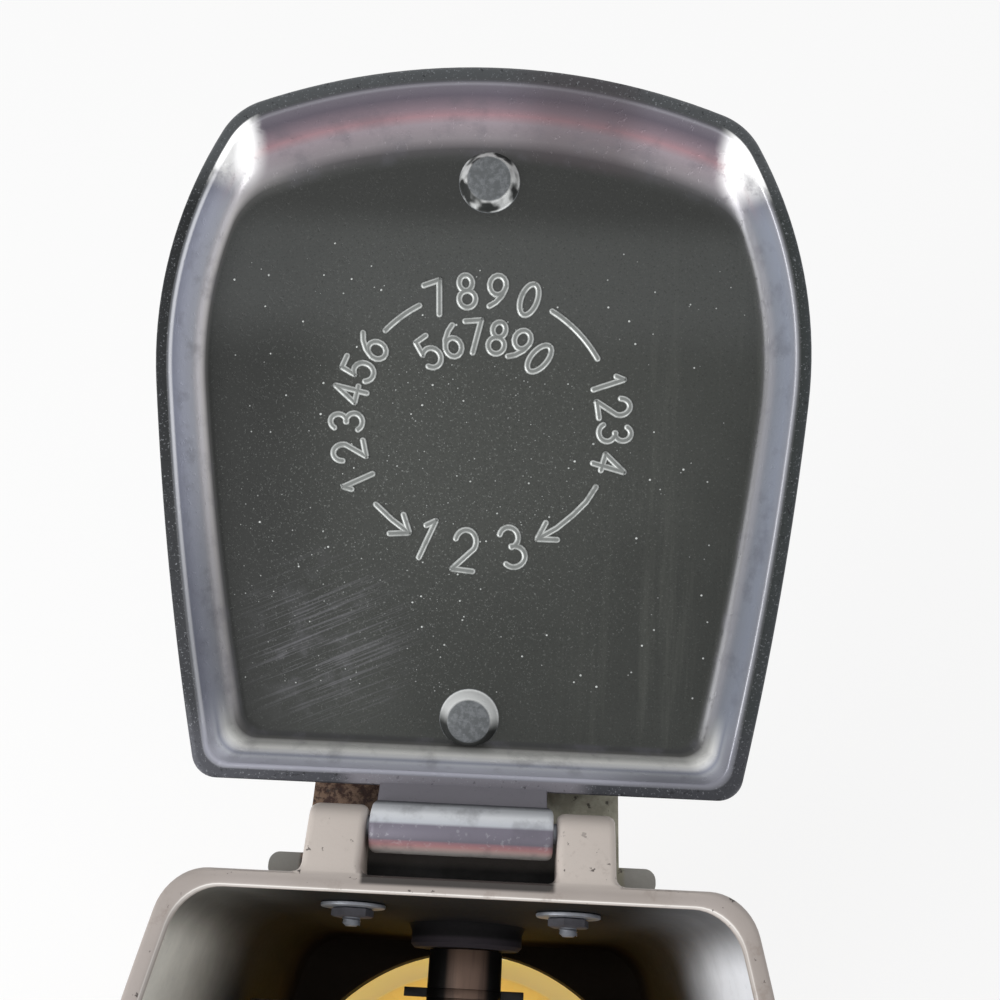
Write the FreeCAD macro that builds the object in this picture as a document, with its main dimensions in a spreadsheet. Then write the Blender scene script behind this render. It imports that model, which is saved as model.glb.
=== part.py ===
import FreeCAD, Part
import math
import os

import Sketcher
from FreeCAD import Placement, Rotation, Vector

# Wall-hung hand crank ice crusher. X runs to the right, Y into the wall and Z up. The origin
# lies on the wall, midway between the two wall screws of the bracket.

doc = FreeCAD.newDocument("ice_crusher")
sheet = doc.addObject("Spreadsheet::Sheet", "dims")


class Size:
    """A length with its number and with the expression that a bound property takes."""

    def __init__(self, text, value):
        self.text = text
        self.value = value

    def join(self, other, sign, swap=False):
        if not isinstance(other, Size):
            other = Size(repr(float(other)), float(other))
        first, second = (other, self) if swap else (self, other)
        results = {"+": lambda a, b: a + b, "-": lambda a, b: a - b,
                   "*": lambda a, b: a * b, "/": lambda a, b: a / b}
        return Size(f"({first.text} {sign} {second.text})", results[sign](first.value, second.value))

    def __add__(self, other):
        return self.join(other, "+")

    def __radd__(self, other):
        return self.join(other, "+", swap=True)

    def __sub__(self, other):
        return self.join(other, "-")

    def __rsub__(self, other):
        return self.join(other, "-", swap=True)

    def __mul__(self, other):
        return self.join(other, "*")

    def __rmul__(self, other):
        return self.join(other, "*", swap=True)

    def __truediv__(self, other):
        return self.join(other, "/")

    def __neg__(self):
        return self * -1.0

    def __float__(self):
        return float(self.value)


def size(alias, value, note):
    """Put a driving dimension in the sheet and return it as a Size."""
    size.row += 1
    sheet.set(f"A{size.row}", note)
    sheet.set(f"B{size.row}", str(value))
    sheet.setAlias(f"B{size.row}", alias)
    return Size(f"dims.{alias}", float(value))


size.row = 0
ZERO = Size("0", 0.0)

# Driving dimensions, in millimetres and degrees.
rim_height = size("rim_height", 38, "hopper rim above the wall screws")
wall_gap = size("wall_gap", 34, "wall to the rear face of the hopper rim")
wall = size("wall", 3.2, "thickness of the cast walls")
body_height = size("body_height", 120, "hopper rim to the underside of the casting")
rim_length = size("rim_length", 137, "hopper rim, rear face to nose")
rim_half = size("rim_half", 65.2, "hopper rim, half of the greatest width")
rim_rear_half = size("rim_rear_half", 56, "hopper rim, half width at the rear corners")
rim_widest = size("rim_widest", 82, "rear face to the widest place of the rim")
rear_corner = size("rear_corner", 9, "radius of the rim's rear corners")
side_bow = size("side_bow", 700, "radius of the rim's long sides")
shoulder = size("shoulder", 85, "radius of the rim's shoulders")
nose_corner = size("nose_corner", 14, "radius of the rim's front corners")
nose_bow = size("nose_bow", 135, "radius of the rim's front edge")
base_set_in = size("base_set_in", 1.2, "rear face of the base, in front of the rim's")
base_length = size("base_length", 124, "base of the casting, rear to front")
base_half = size("base_half", 62, "base, half of the greatest width")
base_rear_half = size("base_rear_half", 52, "base, half width at the rear corners")
base_widest = size("base_widest", 68, "base, rear face to the widest place")
base_corner = size("base_corner", 12, "radius of the base's rear corners")
base_bow = size("base_bow", 600, "radius of the base's long sides")
base_shoulder = size("base_shoulder", 72, "radius of the base's shoulders")
base_nose = size("base_nose", 24, "radius of the base's front corners")
base_front = size("base_front", 95, "radius of the base's front edge")
casting_round = size("casting_round", 1.6, "rounding of the ears and bosses of the casting")
floor_thick = size("floor_thick", 6, "floor round the throat")
throat_radius = size("throat_radius", 54, "radius of the throat above the cup")
throat_back = size("throat_back", 62, "rear face of the rim to the centre of the throat")
hinge_back = size("hinge_back", 9.5, "hinge axis behind the rear face of the rim")
hinge_drop = size("hinge_drop", 5.5, "hinge axis below the rim")
ear_round = size("ear_round", 3.9, "radius of the ears about the hinge axis")
ear_inner = size("ear_inner", 18.5, "centre plane to the inner face of an ear")
ear_width = size("ear_width", 11.3, "width of an ear")
ear_foot = size("ear_foot", 8, "depth of an ear's foot on the wall, below the hinge axis")
pin_radius = size("pin_radius", 2, "radius of the hinge pin")
pin_inset = size("pin_inset", 0.3, "ends of the hinge pin inside the ears")
barrel_half = size("barrel_half", 17.8, "half length of the lid's hinge barrel")
barrel_radius = size("barrel_radius", 4.9, "radius of the lid's hinge barrel")
barrel_round = size("barrel_round", 1.2, "rounding of the barrel's ends")
neck_inset = size("neck_inset", 2, "ends of the lid's neck inside the barrel's ends")
lid_open = size("lid_open", 150, "opening angle of the lid at its stop")
lid_seat = size("lid_seat", 0.2, "gap between the closed lid and the rim")
lid_lip = size("lid_lip", 3, "finger lip of the lid in front of the rim")
lid_back = size("lid_back", 3.5, "overhang of the lid behind the rim")
lid_side = size("lid_side", 0.2, "overhang of the lid beside the rim")
lid_corner = size("lid_corner", 5, "radius of the lid's rear corners")
lid_rim = size("lid_rim", 3.3, "width of the lid's flat rim")
lid_height = size("lid_height", 11, "height of the lid above its rim plane")
lid_crown = size("lid_crown", 13, "width of the rounded crown round the lid's flat top")
lid_depth = size("lid_depth", 7.5, "depth of the lid's hollow")
lid_cove = size("lid_cove", 5.1, "width of the cove along the lid's sides")
lid_front_cove = size("lid_front_cove", 13, "width of the cove at the lid's front")
stud_radius = size("stud_radius", 6, "base radius of the two studs inside the lid")
stud_top = size("stud_top", 4.3, "top radius of the studs")
stud_height = size("stud_height", 2.6, "height of the studs")
front_stud = size("front_stud", 129.2, "hinge axis to the front stud")
rear_stud = size("rear_stud", 18.6, "hinge axis to the rear stud")
tongue_drop = size("tongue_drop", 13.5, "top of the bracket's tongue below the rim")
bracket_half = size("bracket_half", 31.5, "half width of the bracket")
sheet_thick = size("sheet_thick", 2, "thickness of the bracket's sheet")
bend = size("bend", 2, "inner radius of the bracket's bends")
lug_reach = size("lug_reach", 7.3, "side lugs beyond the bracket's edge")
lug_depth = size("lug_depth", 4.8, "side lugs, front to back")
lug_gap = size("lug_gap", 0.3, "side lugs behind the face of the front flange")
lug_round = size("lug_round", 2.1, "rounding of the side lugs")
flange_round = size("flange_round", 5, "rounding of the wall flange")
front_flange = size("front_flange", 22, "length of the bracket's flange on the casting")
wall_flange = size("wall_flange", 44, "length of the bracket's flange on the wall")
wall_screw = size("wall_screw", 5.2, "diameter of the wall screw holes")
wall_pitch = size("wall_pitch", 40, "distance between the wall screws")
screw_side = size("screw_side", 22, "centre plane to a bracket screw")
screw_drop = size("screw_drop", 21.5, "bracket screws below the rim")
screw_radius = size("screw_radius", 2, "radius of the bracket screws")
screw_head = size("screw_head", 2.6, "height of the bracket screws' heads")
head_radius = size("head_radius", 3.8, "radius of the bracket screws' heads")
screw_reach = size("screw_reach", 4.2, "bracket screws beyond the inner face of the wall")
washer_radius = size("washer_radius", 6.6, "radius of the bracket washers")
washer_thick = size("washer_thick", 0.8, "thickness of the bracket washers")
nut_flats = size("nut_flats", 7.5, "bracket nuts across flats")
nut_thick = size("nut_thick", 1.8, "thickness of the bracket nuts")
axle_drop = size("axle_drop", 66, "rotor axis below the rim")
rear_boss = size("rear_boss", 13.4, "radius of the rear bearing boss")
rear_boss_reach = size("rear_boss_reach", 9, "rim's rear face to the end of the rear boss")
front_boss = size("front_boss", 15, "radius of the front bearing boss")
front_boss_reach = size("front_boss_reach", 5, "front boss beyond the nose of the rim")
front_boss_length = size("front_boss_length", 24, "length of the front boss")
rear_journal = size("rear_journal", 5, "radius of the shaft in the rear bush")
front_journal = size("front_journal", 7, "radius of the shaft in the front bush")
bush_wall = size("bush_wall", 2.5, "thickness of the bushes")
rear_bush_length = size("rear_bush_length", 5.5, "length of the rear bush")
end_play = size("end_play", 0.3, "end play of the rotor")
seat = size("seat", 0.1, "gap between faces that bear on each other")
running = size("running", 0.06, "radial running clearance of the bearings")
fit = size("fit", 0.02, "radial clearance of seated pieces")
square = size("square", 10.4, "rotor shaft across its flats")
spacer_radius = size("spacer_radius", 8.8, "radius of the rotor spacers")
spacer_bore = size("spacer_bore", 7.5, "bore radius of the rotor spacers")
blade_count = 6
blade_first = size("blade_first", 18.6, "rim's rear face to the first blade")
blade_pitch = size("blade_pitch", 16.4, "distance between blades")
blade_thick = size("blade_thick", 2, "thickness of a blade")
blade_tip = size("blade_tip", 34, "rotor axis to the end of a blade's tooth")
tooth_root = size("tooth_root", 14.3, "half width of a blade's tooth at the rotor axis")
tooth_waist = size("tooth_waist", 8, "half width of a blade's tooth at the middle of its length")
tooth_end = size("tooth_end", 2.2, "half width of a blade's tooth at its end")
comb_inner = size("comb_inner", 41, "centre plane to the comb's bar")
comb_width = size("comb_width", 9, "width of a comb's bar")
comb_thick = size("comb_thick", 4, "thickness of the combs")
finger_tip = size("finger_tip", 11.6, "centre plane to a finger's end")
finger_root = size("finger_root", 6.5, "width of a finger at the bar")
finger_end = size("finger_end", 4, "width of a finger at its end")
comb_margin = size("comb_margin", 5, "bar beyond the outermost finger")
ledge_start = size("ledge_start", 45, "rim's rear face to the rear end of the comb ledges")
ledge_length = size("ledge_length", 46, "length of the comb ledges")
ledge_nose = size("ledge_nose", 6, "depth of a ledge at its edge")
ledge_root = size("ledge_root", 14, "depth of a ledge at the wall")
comb_screw = size("comb_screw", 1.9, "radius of the comb screws")
comb_screw_length = size("comb_screw_length", 9, "length of the comb screws")
comb_head = size("comb_head", 3.4, "radius of the comb screws' heads")
comb_head_height = size("comb_head_height", 1.9, "height of the comb screws' heads")
comb_steps = (0.2, 0.8)
rail_side = size("rail_side", 57.6, "centre plane to the inner face of a cup rail")
rail_thick = size("rail_thick", 2.2, "thickness of the cup rails")
rail_lip = size("rail_lip", 3, "lip of a cup rail under the cup's flange")
rail_start = size("rail_start", 20, "rim's rear face to the rear end of the rails")
rail_length = size("rail_length", 68, "length of the cup rails")
cup_height = size("cup_height", 88, "height of the cup")
cup_mouth = size("cup_mouth", 51.5, "outer radius of the cup below its flange")
cup_foot = size("cup_foot", 43, "outer radius of the cup at its foot")
cup_wall = size("cup_wall", 2.2, "thickness of the cup")
flange_thick = size("flange_thick", 2.6, "thickness of the cup's flange")
flange_half = size("flange_half", 57.2, "half width of the cup's flange")
flange_reach = size("flange_reach", 2, "cup's flange beyond its mouth, front and back")
flange_corner = size("flange_corner", 23, "radius of the corners of the cup's flange")
tab_reach = size("tab_reach", 7, "finger tab of the cup in front of its flange")
tab_end = size("tab_end", 18, "half width of the tab at its end")
tab_root = size("tab_root", 23, "half width of the tab at the flange")
slide_gap = size("slide_gap", 0.4, "clearance of the cup's flange in its rails")
hub_radius = size("hub_radius", 11, "radius of the crank's hub")
hub_length = size("hub_length", 9, "length of the crank's hub")
crank_square = size("crank_square", 9, "crank's square across its flats")
thrust_thick = size("thrust_thick", 1.5, "thickness of the thrust washer")
crank_reach = size("crank_reach", 92, "rotor axis to the knob")
arm_hub_width = size("arm_hub_width", 18, "width of the crank arm at its hub")
arm_end_width = size("arm_end_width", 12, "width of the crank arm at the knob")
arm_thick = size("arm_thick", 5, "thickness of the crank arm")
spindle_radius = size("spindle_radius", 3.2, "radius of the knob's spindle")
knob_length = size("knob_length", 44, "length of the knob")
knob_radius = size("knob_radius", 12.5, "greatest radius of the knob")
knob_neck = size("knob_neck", 7.5, "radius of the knob's neck")
cap_radius = size("cap_radius", 7.5, "radius of the crank's cap nut")
cap_length = size("cap_length", 5, "straight part of the cap nut")
thread_length = size("thread_length", 8, "length of the shaft's thread")
collar_thick = size("collar_thick", 0.8, "thickness of the spindle's collar")
head_thick = size("head_thick", 1.6, "thickness of the spindle's head")
knob_gap = size("knob_gap", 1, "gap between the crank arm and the knob")
overlap = size("overlap", 1, "reach of joined and cut shapes into each other")

# Planes and axes that several pieces share.
rear_face = -wall_gap
hinge_y = rear_face + hinge_back
hinge_z = rim_height - hinge_drop
axle_z = rim_height - axle_drop
base_z = rim_height - body_height
throat_y = rear_face - throat_back
tongue_z = rim_height - tongue_drop
ledge_top = axle_z - comb_thick / 2
comb_line = comb_inner + comb_width / 2
lip_top = base_z - flange_thick - slide_gap * 2
flange_y = rear_face - base_set_in * (tongue_drop / body_height)
screw_z = rim_height - screw_drop
washer_y = rear_face - wall - base_set_in * ((screw_drop + washer_radius) / (body_height - floor_thick))
front_boss_outer = rim_length + front_boss_reach
front_boss_inner = front_boss_outer - front_boss_length
crank_start = front_boss_outer + seat + thrust_thick + end_play
arm_start = crank_start + hub_length - arm_thick - overlap
square_start = rear_boss_reach + end_play
doc.recompute()


def comb_screw_y(step):
    """Y of a comb screw, at a share of the ledge's length."""
    return rear_face - ledge_start - ledge_length * step


def bind(item, path, length):
    item.setExpression(path, length.text)


def new_body(label):
    body = doc.addObject("PartDesign::Body", label)
    body.Label = label
    return body


def new_sketch(body, name, role, offset=None):
    """Attach a sketch to one of the body's own origin planes, moved along its normal."""
    drawing = body.newObject("Sketcher::SketchObject", f"{body.Name}_{name}")
    plane = next(item for item in body.Origin.OriginFeatures if item.Role == role)
    drawing.AttachmentSupport = [(plane, "")]
    drawing.MapMode = "FlatFace"
    if offset is not None:
        bind(drawing, "AttachmentOffset.Base.z", offset)
    return drawing


def dimension(drawing, kind, *where):
    """Add a driving dimension whose last argument is a Size."""
    length = where[-1]
    index = drawing.addConstraint(Sketcher.Constraint(kind, *where[:-1], float(length)))
    bind(drawing, f"Constraints[{index}]", length)


def place_point(drawing, item, point, across, up):
    """Hold a point of the sketch at two distances from the sketch's origin."""
    for kind, axis, length in (("DistanceX", -2, across), ("DistanceY", -1, up)):
        if float(length) == 0.0:
            drawing.addConstraint(Sketcher.Constraint("PointOnObject", item, point, axis))
        else:
            dimension(drawing, kind, -1, 1, item, point, length)


def add_polygon(drawing, corners):
    """Draw a closed polygon whose corners are pairs of Size."""
    points = [Vector(float(across), float(up), 0) for across, up in corners]
    first = drawing.GeometryCount
    for index, point in enumerate(points):
        drawing.addGeometry(Part.LineSegment(point, points[(index + 1) % len(points)]), False)
    for index in range(len(points)):
        after = first + (index + 1) % len(points)
        drawing.addConstraint(Sketcher.Constraint("Coincident", first + index, 2, after, 1))
    for index, (across, up) in enumerate(corners):
        place_point(drawing, first + index, 1, across, up)


def add_circle(drawing, across, up, radius):
    centre = Vector(float(across), float(up), 0)
    item = drawing.addGeometry(Part.Circle(centre, Vector(0, 0, 1), float(radius)), False)
    dimension(drawing, "Radius", item, radius)
    place_point(drawing, item, 3, across, up)


def pad(body, drawing, length, middle=False, back=False):
    feature = body.newObject("PartDesign::Pad", f"{drawing.Name}_pad")
    feature.Profile = drawing
    feature.Midplane = middle
    feature.Reversed = back
    bind(feature, "Length", length)
    drawing.Visibility = False
    body.Tip = feature
    doc.recompute()
    return feature


def pocket(body, drawing, length=None, back=False):
    """Cut the sketch out of the body, right through when no length is given."""
    before = body.Shape.Volume
    feature = body.newObject("PartDesign::Pocket", f"{drawing.Name}_pocket")
    feature.Profile = drawing
    feature.Reversed = back
    if length is None:
        feature.Type = "ThroughAll"
        feature.Midplane = True
    else:
        bind(feature, "Length", length)
    body.Tip = feature
    doc.recompute()
    if not body.Shape.Volume < before - 0.01:
        raise RuntimeError(f"{feature.Name} cuts nothing")
    return feature


def loft(body, kind, name, sections, ruled=True):
    feature = body.newObject(f"PartDesign::{kind}Loft", f"{body.Name}_{name}")
    feature.Profile = sections[0]
    feature.Sections = sections[1:]
    feature.Ruled = ruled
    feature.Closed = False
    body.Tip = feature
    doc.recompute()
    return feature


def mirror(body, name, features):
    """Repeat one-sided features on the other side of the centre plane."""
    feature = body.newObject("PartDesign::Mirrored", f"{body.Name}_{name}")
    feature.Originals = features
    plane = next(item for item in body.Origin.OriginFeatures if item.Role == "YZ_Plane")
    feature.MirrorPlane = (plane, [""])
    body.Tip = feature
    doc.recompute()
    return feature


def fillet(body, chosen, radius):
    """Round the edges that the test picks from the body's shape."""
    source = body.Tip
    names = [f"Edge{index + 1}" for index, edge in enumerate(source.Shape.Edges) if chosen(edge)]
    feature = body.newObject("PartDesign::Fillet", f"{source.Name}_round")
    feature.Base = (source, names)
    bind(feature, "Radius", radius)
    body.Tip = feature
    doc.recompute()
    return feature


def meet(centre_a, radius_a, centre_b, radius_b):
    """Return the right-hand point at the given distances from two centres."""
    along = centre_b - centre_a
    gap = along.Length
    reach = (radius_a ** 2 - radius_b ** 2 + gap ** 2) / (2 * gap)
    rise = math.sqrt(radius_a ** 2 - reach ** 2)
    along.normalize()
    choices = [centre_a + along * reach + Vector(along.y, -along.x, 0) * side * rise for side in (1, -1)]
    return choices


def half_plan(body, name, height, plan):
    """Draw the right half of a shield-shaped plan as a chain of tangent arcs.

    The chain runs from the straight rear edge over the rear corner, the long side, the shoulder
    and the front corner to the bowed front edge, and closes along the centre plane.
    """
    drawing = new_sketch(body, name, "XY_Plane", height)
    rear, length = float(plan["rear"]), float(plan["length"])
    radii = [float(plan[key]) for key in ("corner", "side", "shoulder", "nose", "front")]
    corner = Vector(float(plan["rear_half"]) - radii[0], rear - radii[0], 0)
    bulge = Vector(float(plan["half"]) - radii[2], rear - float(plan["widest"]), 0)
    front = Vector(0, rear - length + radii[4], 0)
    side = min(meet(corner, radii[1] - radii[0], bulge, radii[1] - radii[2]), key=lambda p: p.x)
    nose = max(meet(bulge, radii[2] - radii[3], front, radii[4] - radii[3]), key=lambda p: p.x)
    centres = [corner, side, bulge, nose, front]

    def bearing(a, b):
        return math.atan2(b.y - a.y, b.x - a.x)

    turns = [math.pi / 2, bearing(side, corner), bearing(side, bulge), bearing(bulge, nose),
             bearing(front, nose), -math.pi / 2]
    for index, centre in enumerate(centres):
        circle = Part.Circle(centre, Vector(0, 0, 1), radii[index])
        drawing.addGeometry(Part.ArcOfCircle(circle, turns[index + 1], turns[index]), False)
    back_edge = drawing.addGeometry(
        Part.LineSegment(Vector(0, rear, 0), Vector(corner.x, rear, 0)), False)
    middle = drawing.addGeometry(
        Part.LineSegment(Vector(0, rear - length, 0), Vector(0, rear, 0)), False)
    for index in range(4):
        drawing.addConstraint(Sketcher.Constraint("Tangent", index, 1, index + 1, 2))
    for rule in (("Tangent", 0, 2, back_edge, 2), ("Coincident", 4, 1, middle, 1),
                 ("Coincident", middle, 2, back_edge, 1), ("Vertical", middle),
                 ("PointOnObject", back_edge, 1, -2), ("Horizontal", back_edge),
                 ("PointOnObject", 4, 3, -2)):
        drawing.addConstraint(Sketcher.Constraint(*rule))
    for index, key in enumerate(("corner", "side", "shoulder", "nose", "front")):
        dimension(drawing, "Radius", index, plan[key])
    dimension(drawing, "DistanceY", -1, 1, back_edge, 1, plan["rear"])
    dimension(drawing, "DistanceX", -1, 1, 0, 1, plan["rear_half"])
    dimension(drawing, "DistanceX", -1, 1, 2, 3, plan["half"] - plan["shoulder"])
    dimension(drawing, "DistanceY", 2, 3, back_edge, 1, plan["widest"])
    dimension(drawing, "DistanceY", 4, 1, back_edge, 1, plan["length"])
    return drawing


def inset(plan, by, front_extra=ZERO, rear_extra=ZERO):
    """Return the plan drawn in by a margin, with more at its front or rear if asked."""
    return {
        "rear": plan["rear"] - by - rear_extra,
        "length": plan["length"] - by * 2 - front_extra - rear_extra,
        "half": plan["half"] - by,
        "rear_half": plan["rear_half"] - by,
        "widest": plan["widest"] - by - rear_extra,
        "corner": plan["corner"],
        "side": plan["side"] - by,
        "shoulder": plan["shoulder"] - by,
        "nose": plan["nose"],
        "front": plan["front"] - by,
    }


rim_plan = {"rear": rear_face, "length": rim_length, "half": rim_half, "rear_half": rim_rear_half,
            "widest": rim_widest, "corner": rear_corner, "side": side_bow, "shoulder": shoulder,
            "nose": nose_corner, "front": nose_bow}
base_plan = {"rear": rear_face - base_set_in, "length": base_length, "half": base_half,
             "rear_half": base_rear_half, "widest": base_widest, "corner": base_corner,
             "side": base_bow, "shoulder": base_shoulder, "nose": base_nose, "front": base_front}


def make_hopper():
    """The painted casting: hopper, bearing bosses, comb ledges, throat and hinge ears."""
    body = new_body("hopper_body")
    outer = loft(body, "Additive", "outside", [
        half_plan(body, "rim_outside", rim_height, rim_plan),
        half_plan(body, "base_outside", base_z, base_plan)])
    inner = loft(body, "Subtractive", "hollow", [
        half_plan(body, "rim_inside", rim_height, inset(rim_plan, wall)),
        half_plan(body, "floor_inside", base_z + floor_thick, inset(base_plan, wall))])
    mirror(body, "both_sides", [outer, inner])

    ear = new_sketch(body, "ear", "YZ_Plane", ear_inner + ear_width / 2)
    add_ear_profile(ear)
    right_ear = pad(body, ear, ear_width, middle=True)
    mirror(body, "ears", [right_ear])
    fillet(body, is_ear_outline, casting_round)
    fillet(body, is_ear_foot, casting_round)

    ledge = new_sketch(body, "ledge", "XZ_Plane", wall_gap + ledge_start)
    root = rim_half - (rim_half - base_half) * (axle_drop / body_height) - wall + overlap
    add_polygon(ledge, [(comb_inner, ledge_top), (root, ledge_top), (root, ledge_top - ledge_root),
                        (comb_inner, ledge_top - ledge_nose)])
    right_ledge = pad(body, ledge, ledge_length)
    mirror(body, "ledges", [right_ledge])
    holes = new_sketch(body, "comb_holes", "XY_Plane", ledge_top)
    for side in (1, -1):
        for step in comb_steps:
            add_circle(holes, comb_line * side, comb_screw_y(step), comb_screw + fit)
    pocket(body, holes, ledge_root)

    rail = new_sketch(body, "rail", "XZ_Plane", wall_gap + rail_start)
    add_polygon(rail, [
        (rail_side, base_z + overlap), (rail_side + rail_thick, base_z + overlap),
        (rail_side + rail_thick, lip_top - rail_thick), (rail_side - rail_lip, lip_top - rail_thick),
        (rail_side - rail_lip, lip_top), (rail_side, lip_top)])
    right_rail = pad(body, rail, rail_length)
    mirror(body, "rails", [right_rail])

    rear = new_sketch(body, "rear_boss", "XZ_Plane", wall_gap + base_set_in + wall / 2)
    add_circle(rear, ZERO, axle_z, rear_boss)
    pad(body, rear, rear_boss_reach - base_set_in - wall / 2)
    front = new_sketch(body, "front_boss", "XZ_Plane", wall_gap + front_boss_inner)
    add_circle(front, ZERO, axle_z, front_boss)
    pad(body, front, front_boss_length)
    fillet(body, is_boss_rim, casting_round)

    rear_bore = new_sketch(body, "rear_bore", "XZ_Plane", wall_gap + rear_boss_reach)
    add_circle(rear_bore, ZERO, axle_z, rear_journal + bush_wall + fit)
    pocket(body, rear_bore, rear_bush_length)
    front_bore = new_sketch(body, "front_bore", "XZ_Plane", wall_gap + front_boss_outer)
    add_circle(front_bore, ZERO, axle_z, front_journal + bush_wall + fit)
    pocket(body, front_bore, front_boss_length + overlap)

    throat = new_sketch(body, "throat", "XY_Plane", base_z)
    add_circle(throat, ZERO, throat_y, throat_radius)
    pocket(body, throat, floor_thick + overlap, back=True)

    hinge = new_sketch(body, "hinge_bore", "YZ_Plane")
    add_circle(hinge, hinge_y, hinge_z, pin_radius + fit)
    pocket(body, hinge)

    screws = new_sketch(body, "screw_holes", "XZ_Plane", wall_gap - overlap)
    for side in (1, -1):
        add_circle(screws, screw_side * side, rim_height - screw_drop, screw_radius + fit)
    pocket(body, screws, wall * 2 + base_set_in, back=True)
    return body


def is_ear_side(edge):
    """Whether an edge lies in one of the four side faces of the ears."""
    box = edge.BoundBox
    across = abs(box.Center.x)
    planes = (float(ear_inner), float(ear_inner + ear_width))
    return box.XLength < 0.01 and min(abs(across - plane) for plane in planes) < 0.01


def is_ear_outline(edge):
    """Whether an edge bounds a side face of an ear behind the casting."""
    return is_ear_side(edge) and edge.BoundBox.YMax > float(rear_face + overlap)


def is_ear_foot(edge):
    """Whether an edge is the upright corner between an ear and the casting."""
    box = edge.BoundBox
    stands = box.XLength < 0.01 and box.YLength < 0.3 and box.ZLength > float(casting_round)
    near = abs(box.Center.y - float(rear_face)) < 0.3
    high = box.ZMin > float(hinge_z - ear_foot * 2)
    return stands and near and high and abs(box.Center.x) < float(ear_inner + ear_width * 1.5)


def is_boss_rim(edge):
    """Whether an edge is the front circle of the front bearing boss."""
    flat = edge.BoundBox.YLength < 0.01
    return flat and abs(edge.BoundBox.Center.y - float(rear_face - front_boss_outer)) < 0.01


def add_ear_profile(drawing):
    """An ear seen from the side: level with the rim, round about the pin, splayed to its foot."""
    axis = Vector(float(hinge_y), float(hinge_z), 0)
    radius = float(ear_round)
    inside = float(rear_face - wall / 2)
    foot = float(hinge_z - ear_foot)
    rim = float(rim_height)
    top = drawing.addGeometry(
        Part.LineSegment(Vector(inside, rim, 0), axis + Vector(0, radius, 0)), False)
    round_end = drawing.addGeometry(Part.ArcOfCircle(
        Part.Circle(axis, Vector(0, 0, 1), radius), -math.pi / 5, math.pi / 2), False)
    low = axis + Vector(math.cos(-math.pi / 5), math.sin(-math.pi / 5), 0) * radius
    heel = drawing.addGeometry(Part.LineSegment(low, Vector(inside, foot, 0)), False)
    root = drawing.addGeometry(
        Part.LineSegment(Vector(inside, foot, 0), Vector(inside, rim, 0)), False)
    for rule in (("Tangent", round_end, 2, top, 2), ("Tangent", round_end, 1, heel, 1),
                 ("Coincident", heel, 2, root, 1), ("Coincident", root, 2, top, 1),
                 ("Vertical", root)):
        drawing.addConstraint(Sketcher.Constraint(*rule))
    dimension(drawing, "Radius", round_end, ear_round)
    place_point(drawing, round_end, 3, hinge_y, hinge_z)
    dimension(drawing, "DistanceX", -1, 1, root, 1, rear_face - wall / 2)
    dimension(drawing, "DistanceY", -1, 1, root, 1, hinge_z - ear_foot)
    dimension(drawing, "DistanceY", -1, 1, root, 2, rim_height)


def make_bracket():
    """The sheet-steel wall bracket: flange on the casting, tongue with side lugs, wall flange."""
    body = new_body("wall_bracket")
    side_view = new_sketch(body, "side_view", "YZ_Plane")
    add_polygon(side_view, [
        (flange_y, tongue_z - front_flange), (flange_y, tongue_z), (ZERO, tongue_z),
        (ZERO, tongue_z - wall_flange), (-sheet_thick, tongue_z - wall_flange),
        (-sheet_thick, tongue_z - sheet_thick), (flange_y + sheet_thick, tongue_z - sheet_thick),
        (flange_y + sheet_thick, tongue_z - front_flange)])
    pad(body, side_view, bracket_half * 2, middle=True)
    bends = (float(flange_y), float(ZERO))
    fillet(body, lambda edge: runs_across(edge, float(tongue_z), bends), bend + sheet_thick)
    inside = (float(flange_y + sheet_thick), float(-sheet_thick))
    fillet(body, lambda edge: runs_across(edge, float(tongue_z - sheet_thick), inside), bend)

    lugs = new_sketch(body, "lugs", "XY_Plane", tongue_z)
    lug_line = flange_y + lug_gap
    reach = bracket_half + lug_reach
    add_polygon(lugs, [(-reach, lug_line), (reach, lug_line), (reach, lug_line + lug_depth),
                       (-reach, lug_line + lug_depth)])
    pad(body, lugs, sheet_thick, back=True)
    fillet(body, lambda edge: stands_at(edge, float(reach)), lug_round)

    holes = new_sketch(body, "wall_holes", "XZ_Plane", -sheet_thick)
    for side in (1, -1):
        add_circle(holes, wall_pitch / 2 * side, ZERO, wall_screw / 2)
    pocket(body, holes, sheet_thick * 4, back=True)
    screws = new_sketch(body, "screw_holes", "XZ_Plane", -flange_y)
    for side in (1, -1):
        add_circle(screws, screw_side * side, screw_z, screw_radius + fit)
    pocket(body, screws, sheet_thick * 2)
    fillet(body, lambda edge: stands_low(edge, float(tongue_z - wall_flange)), flange_round)
    return body


def runs_across(edge, height, places):
    """Whether an edge runs along X at the given height and at one of the places in Y."""
    centre = edge.BoundBox.Center
    flat = edge.BoundBox.YLength < 0.01 and edge.BoundBox.ZLength < 0.01
    near = any(abs(centre.y - place) < 0.01 for place in places)
    return flat and near and abs(centre.z - height) < 0.01


def stands_at(edge, across):
    """Whether an edge is upright and at the given distance from the centre plane."""
    box = edge.BoundBox
    return box.XLength < 0.01 and box.YLength < 0.01 and abs(abs(box.Center.x) - across) < 0.01


def stands_low(edge, bottom):
    """Whether an edge runs along Y and lies at the foot of the wall flange."""
    box = edge.BoundBox
    return box.XLength < 0.01 and box.ZLength < 0.01 and abs(box.Center.z - bottom) < 0.01


def rod(name, across, start, up, radius, length):
    """A cylinder that runs from its start towards the front of the crusher."""
    item = doc.addObject("Part::Cylinder", name)
    item.Placement = Placement(Vector(), Rotation(Vector(1, 0, 0), 90))
    bind(item, "Radius", radius)
    bind(item, "Height", length)
    bind(item, "Placement.Base.x", across)
    bind(item, "Placement.Base.y", start)
    bind(item, "Placement.Base.z", up)
    return item


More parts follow.
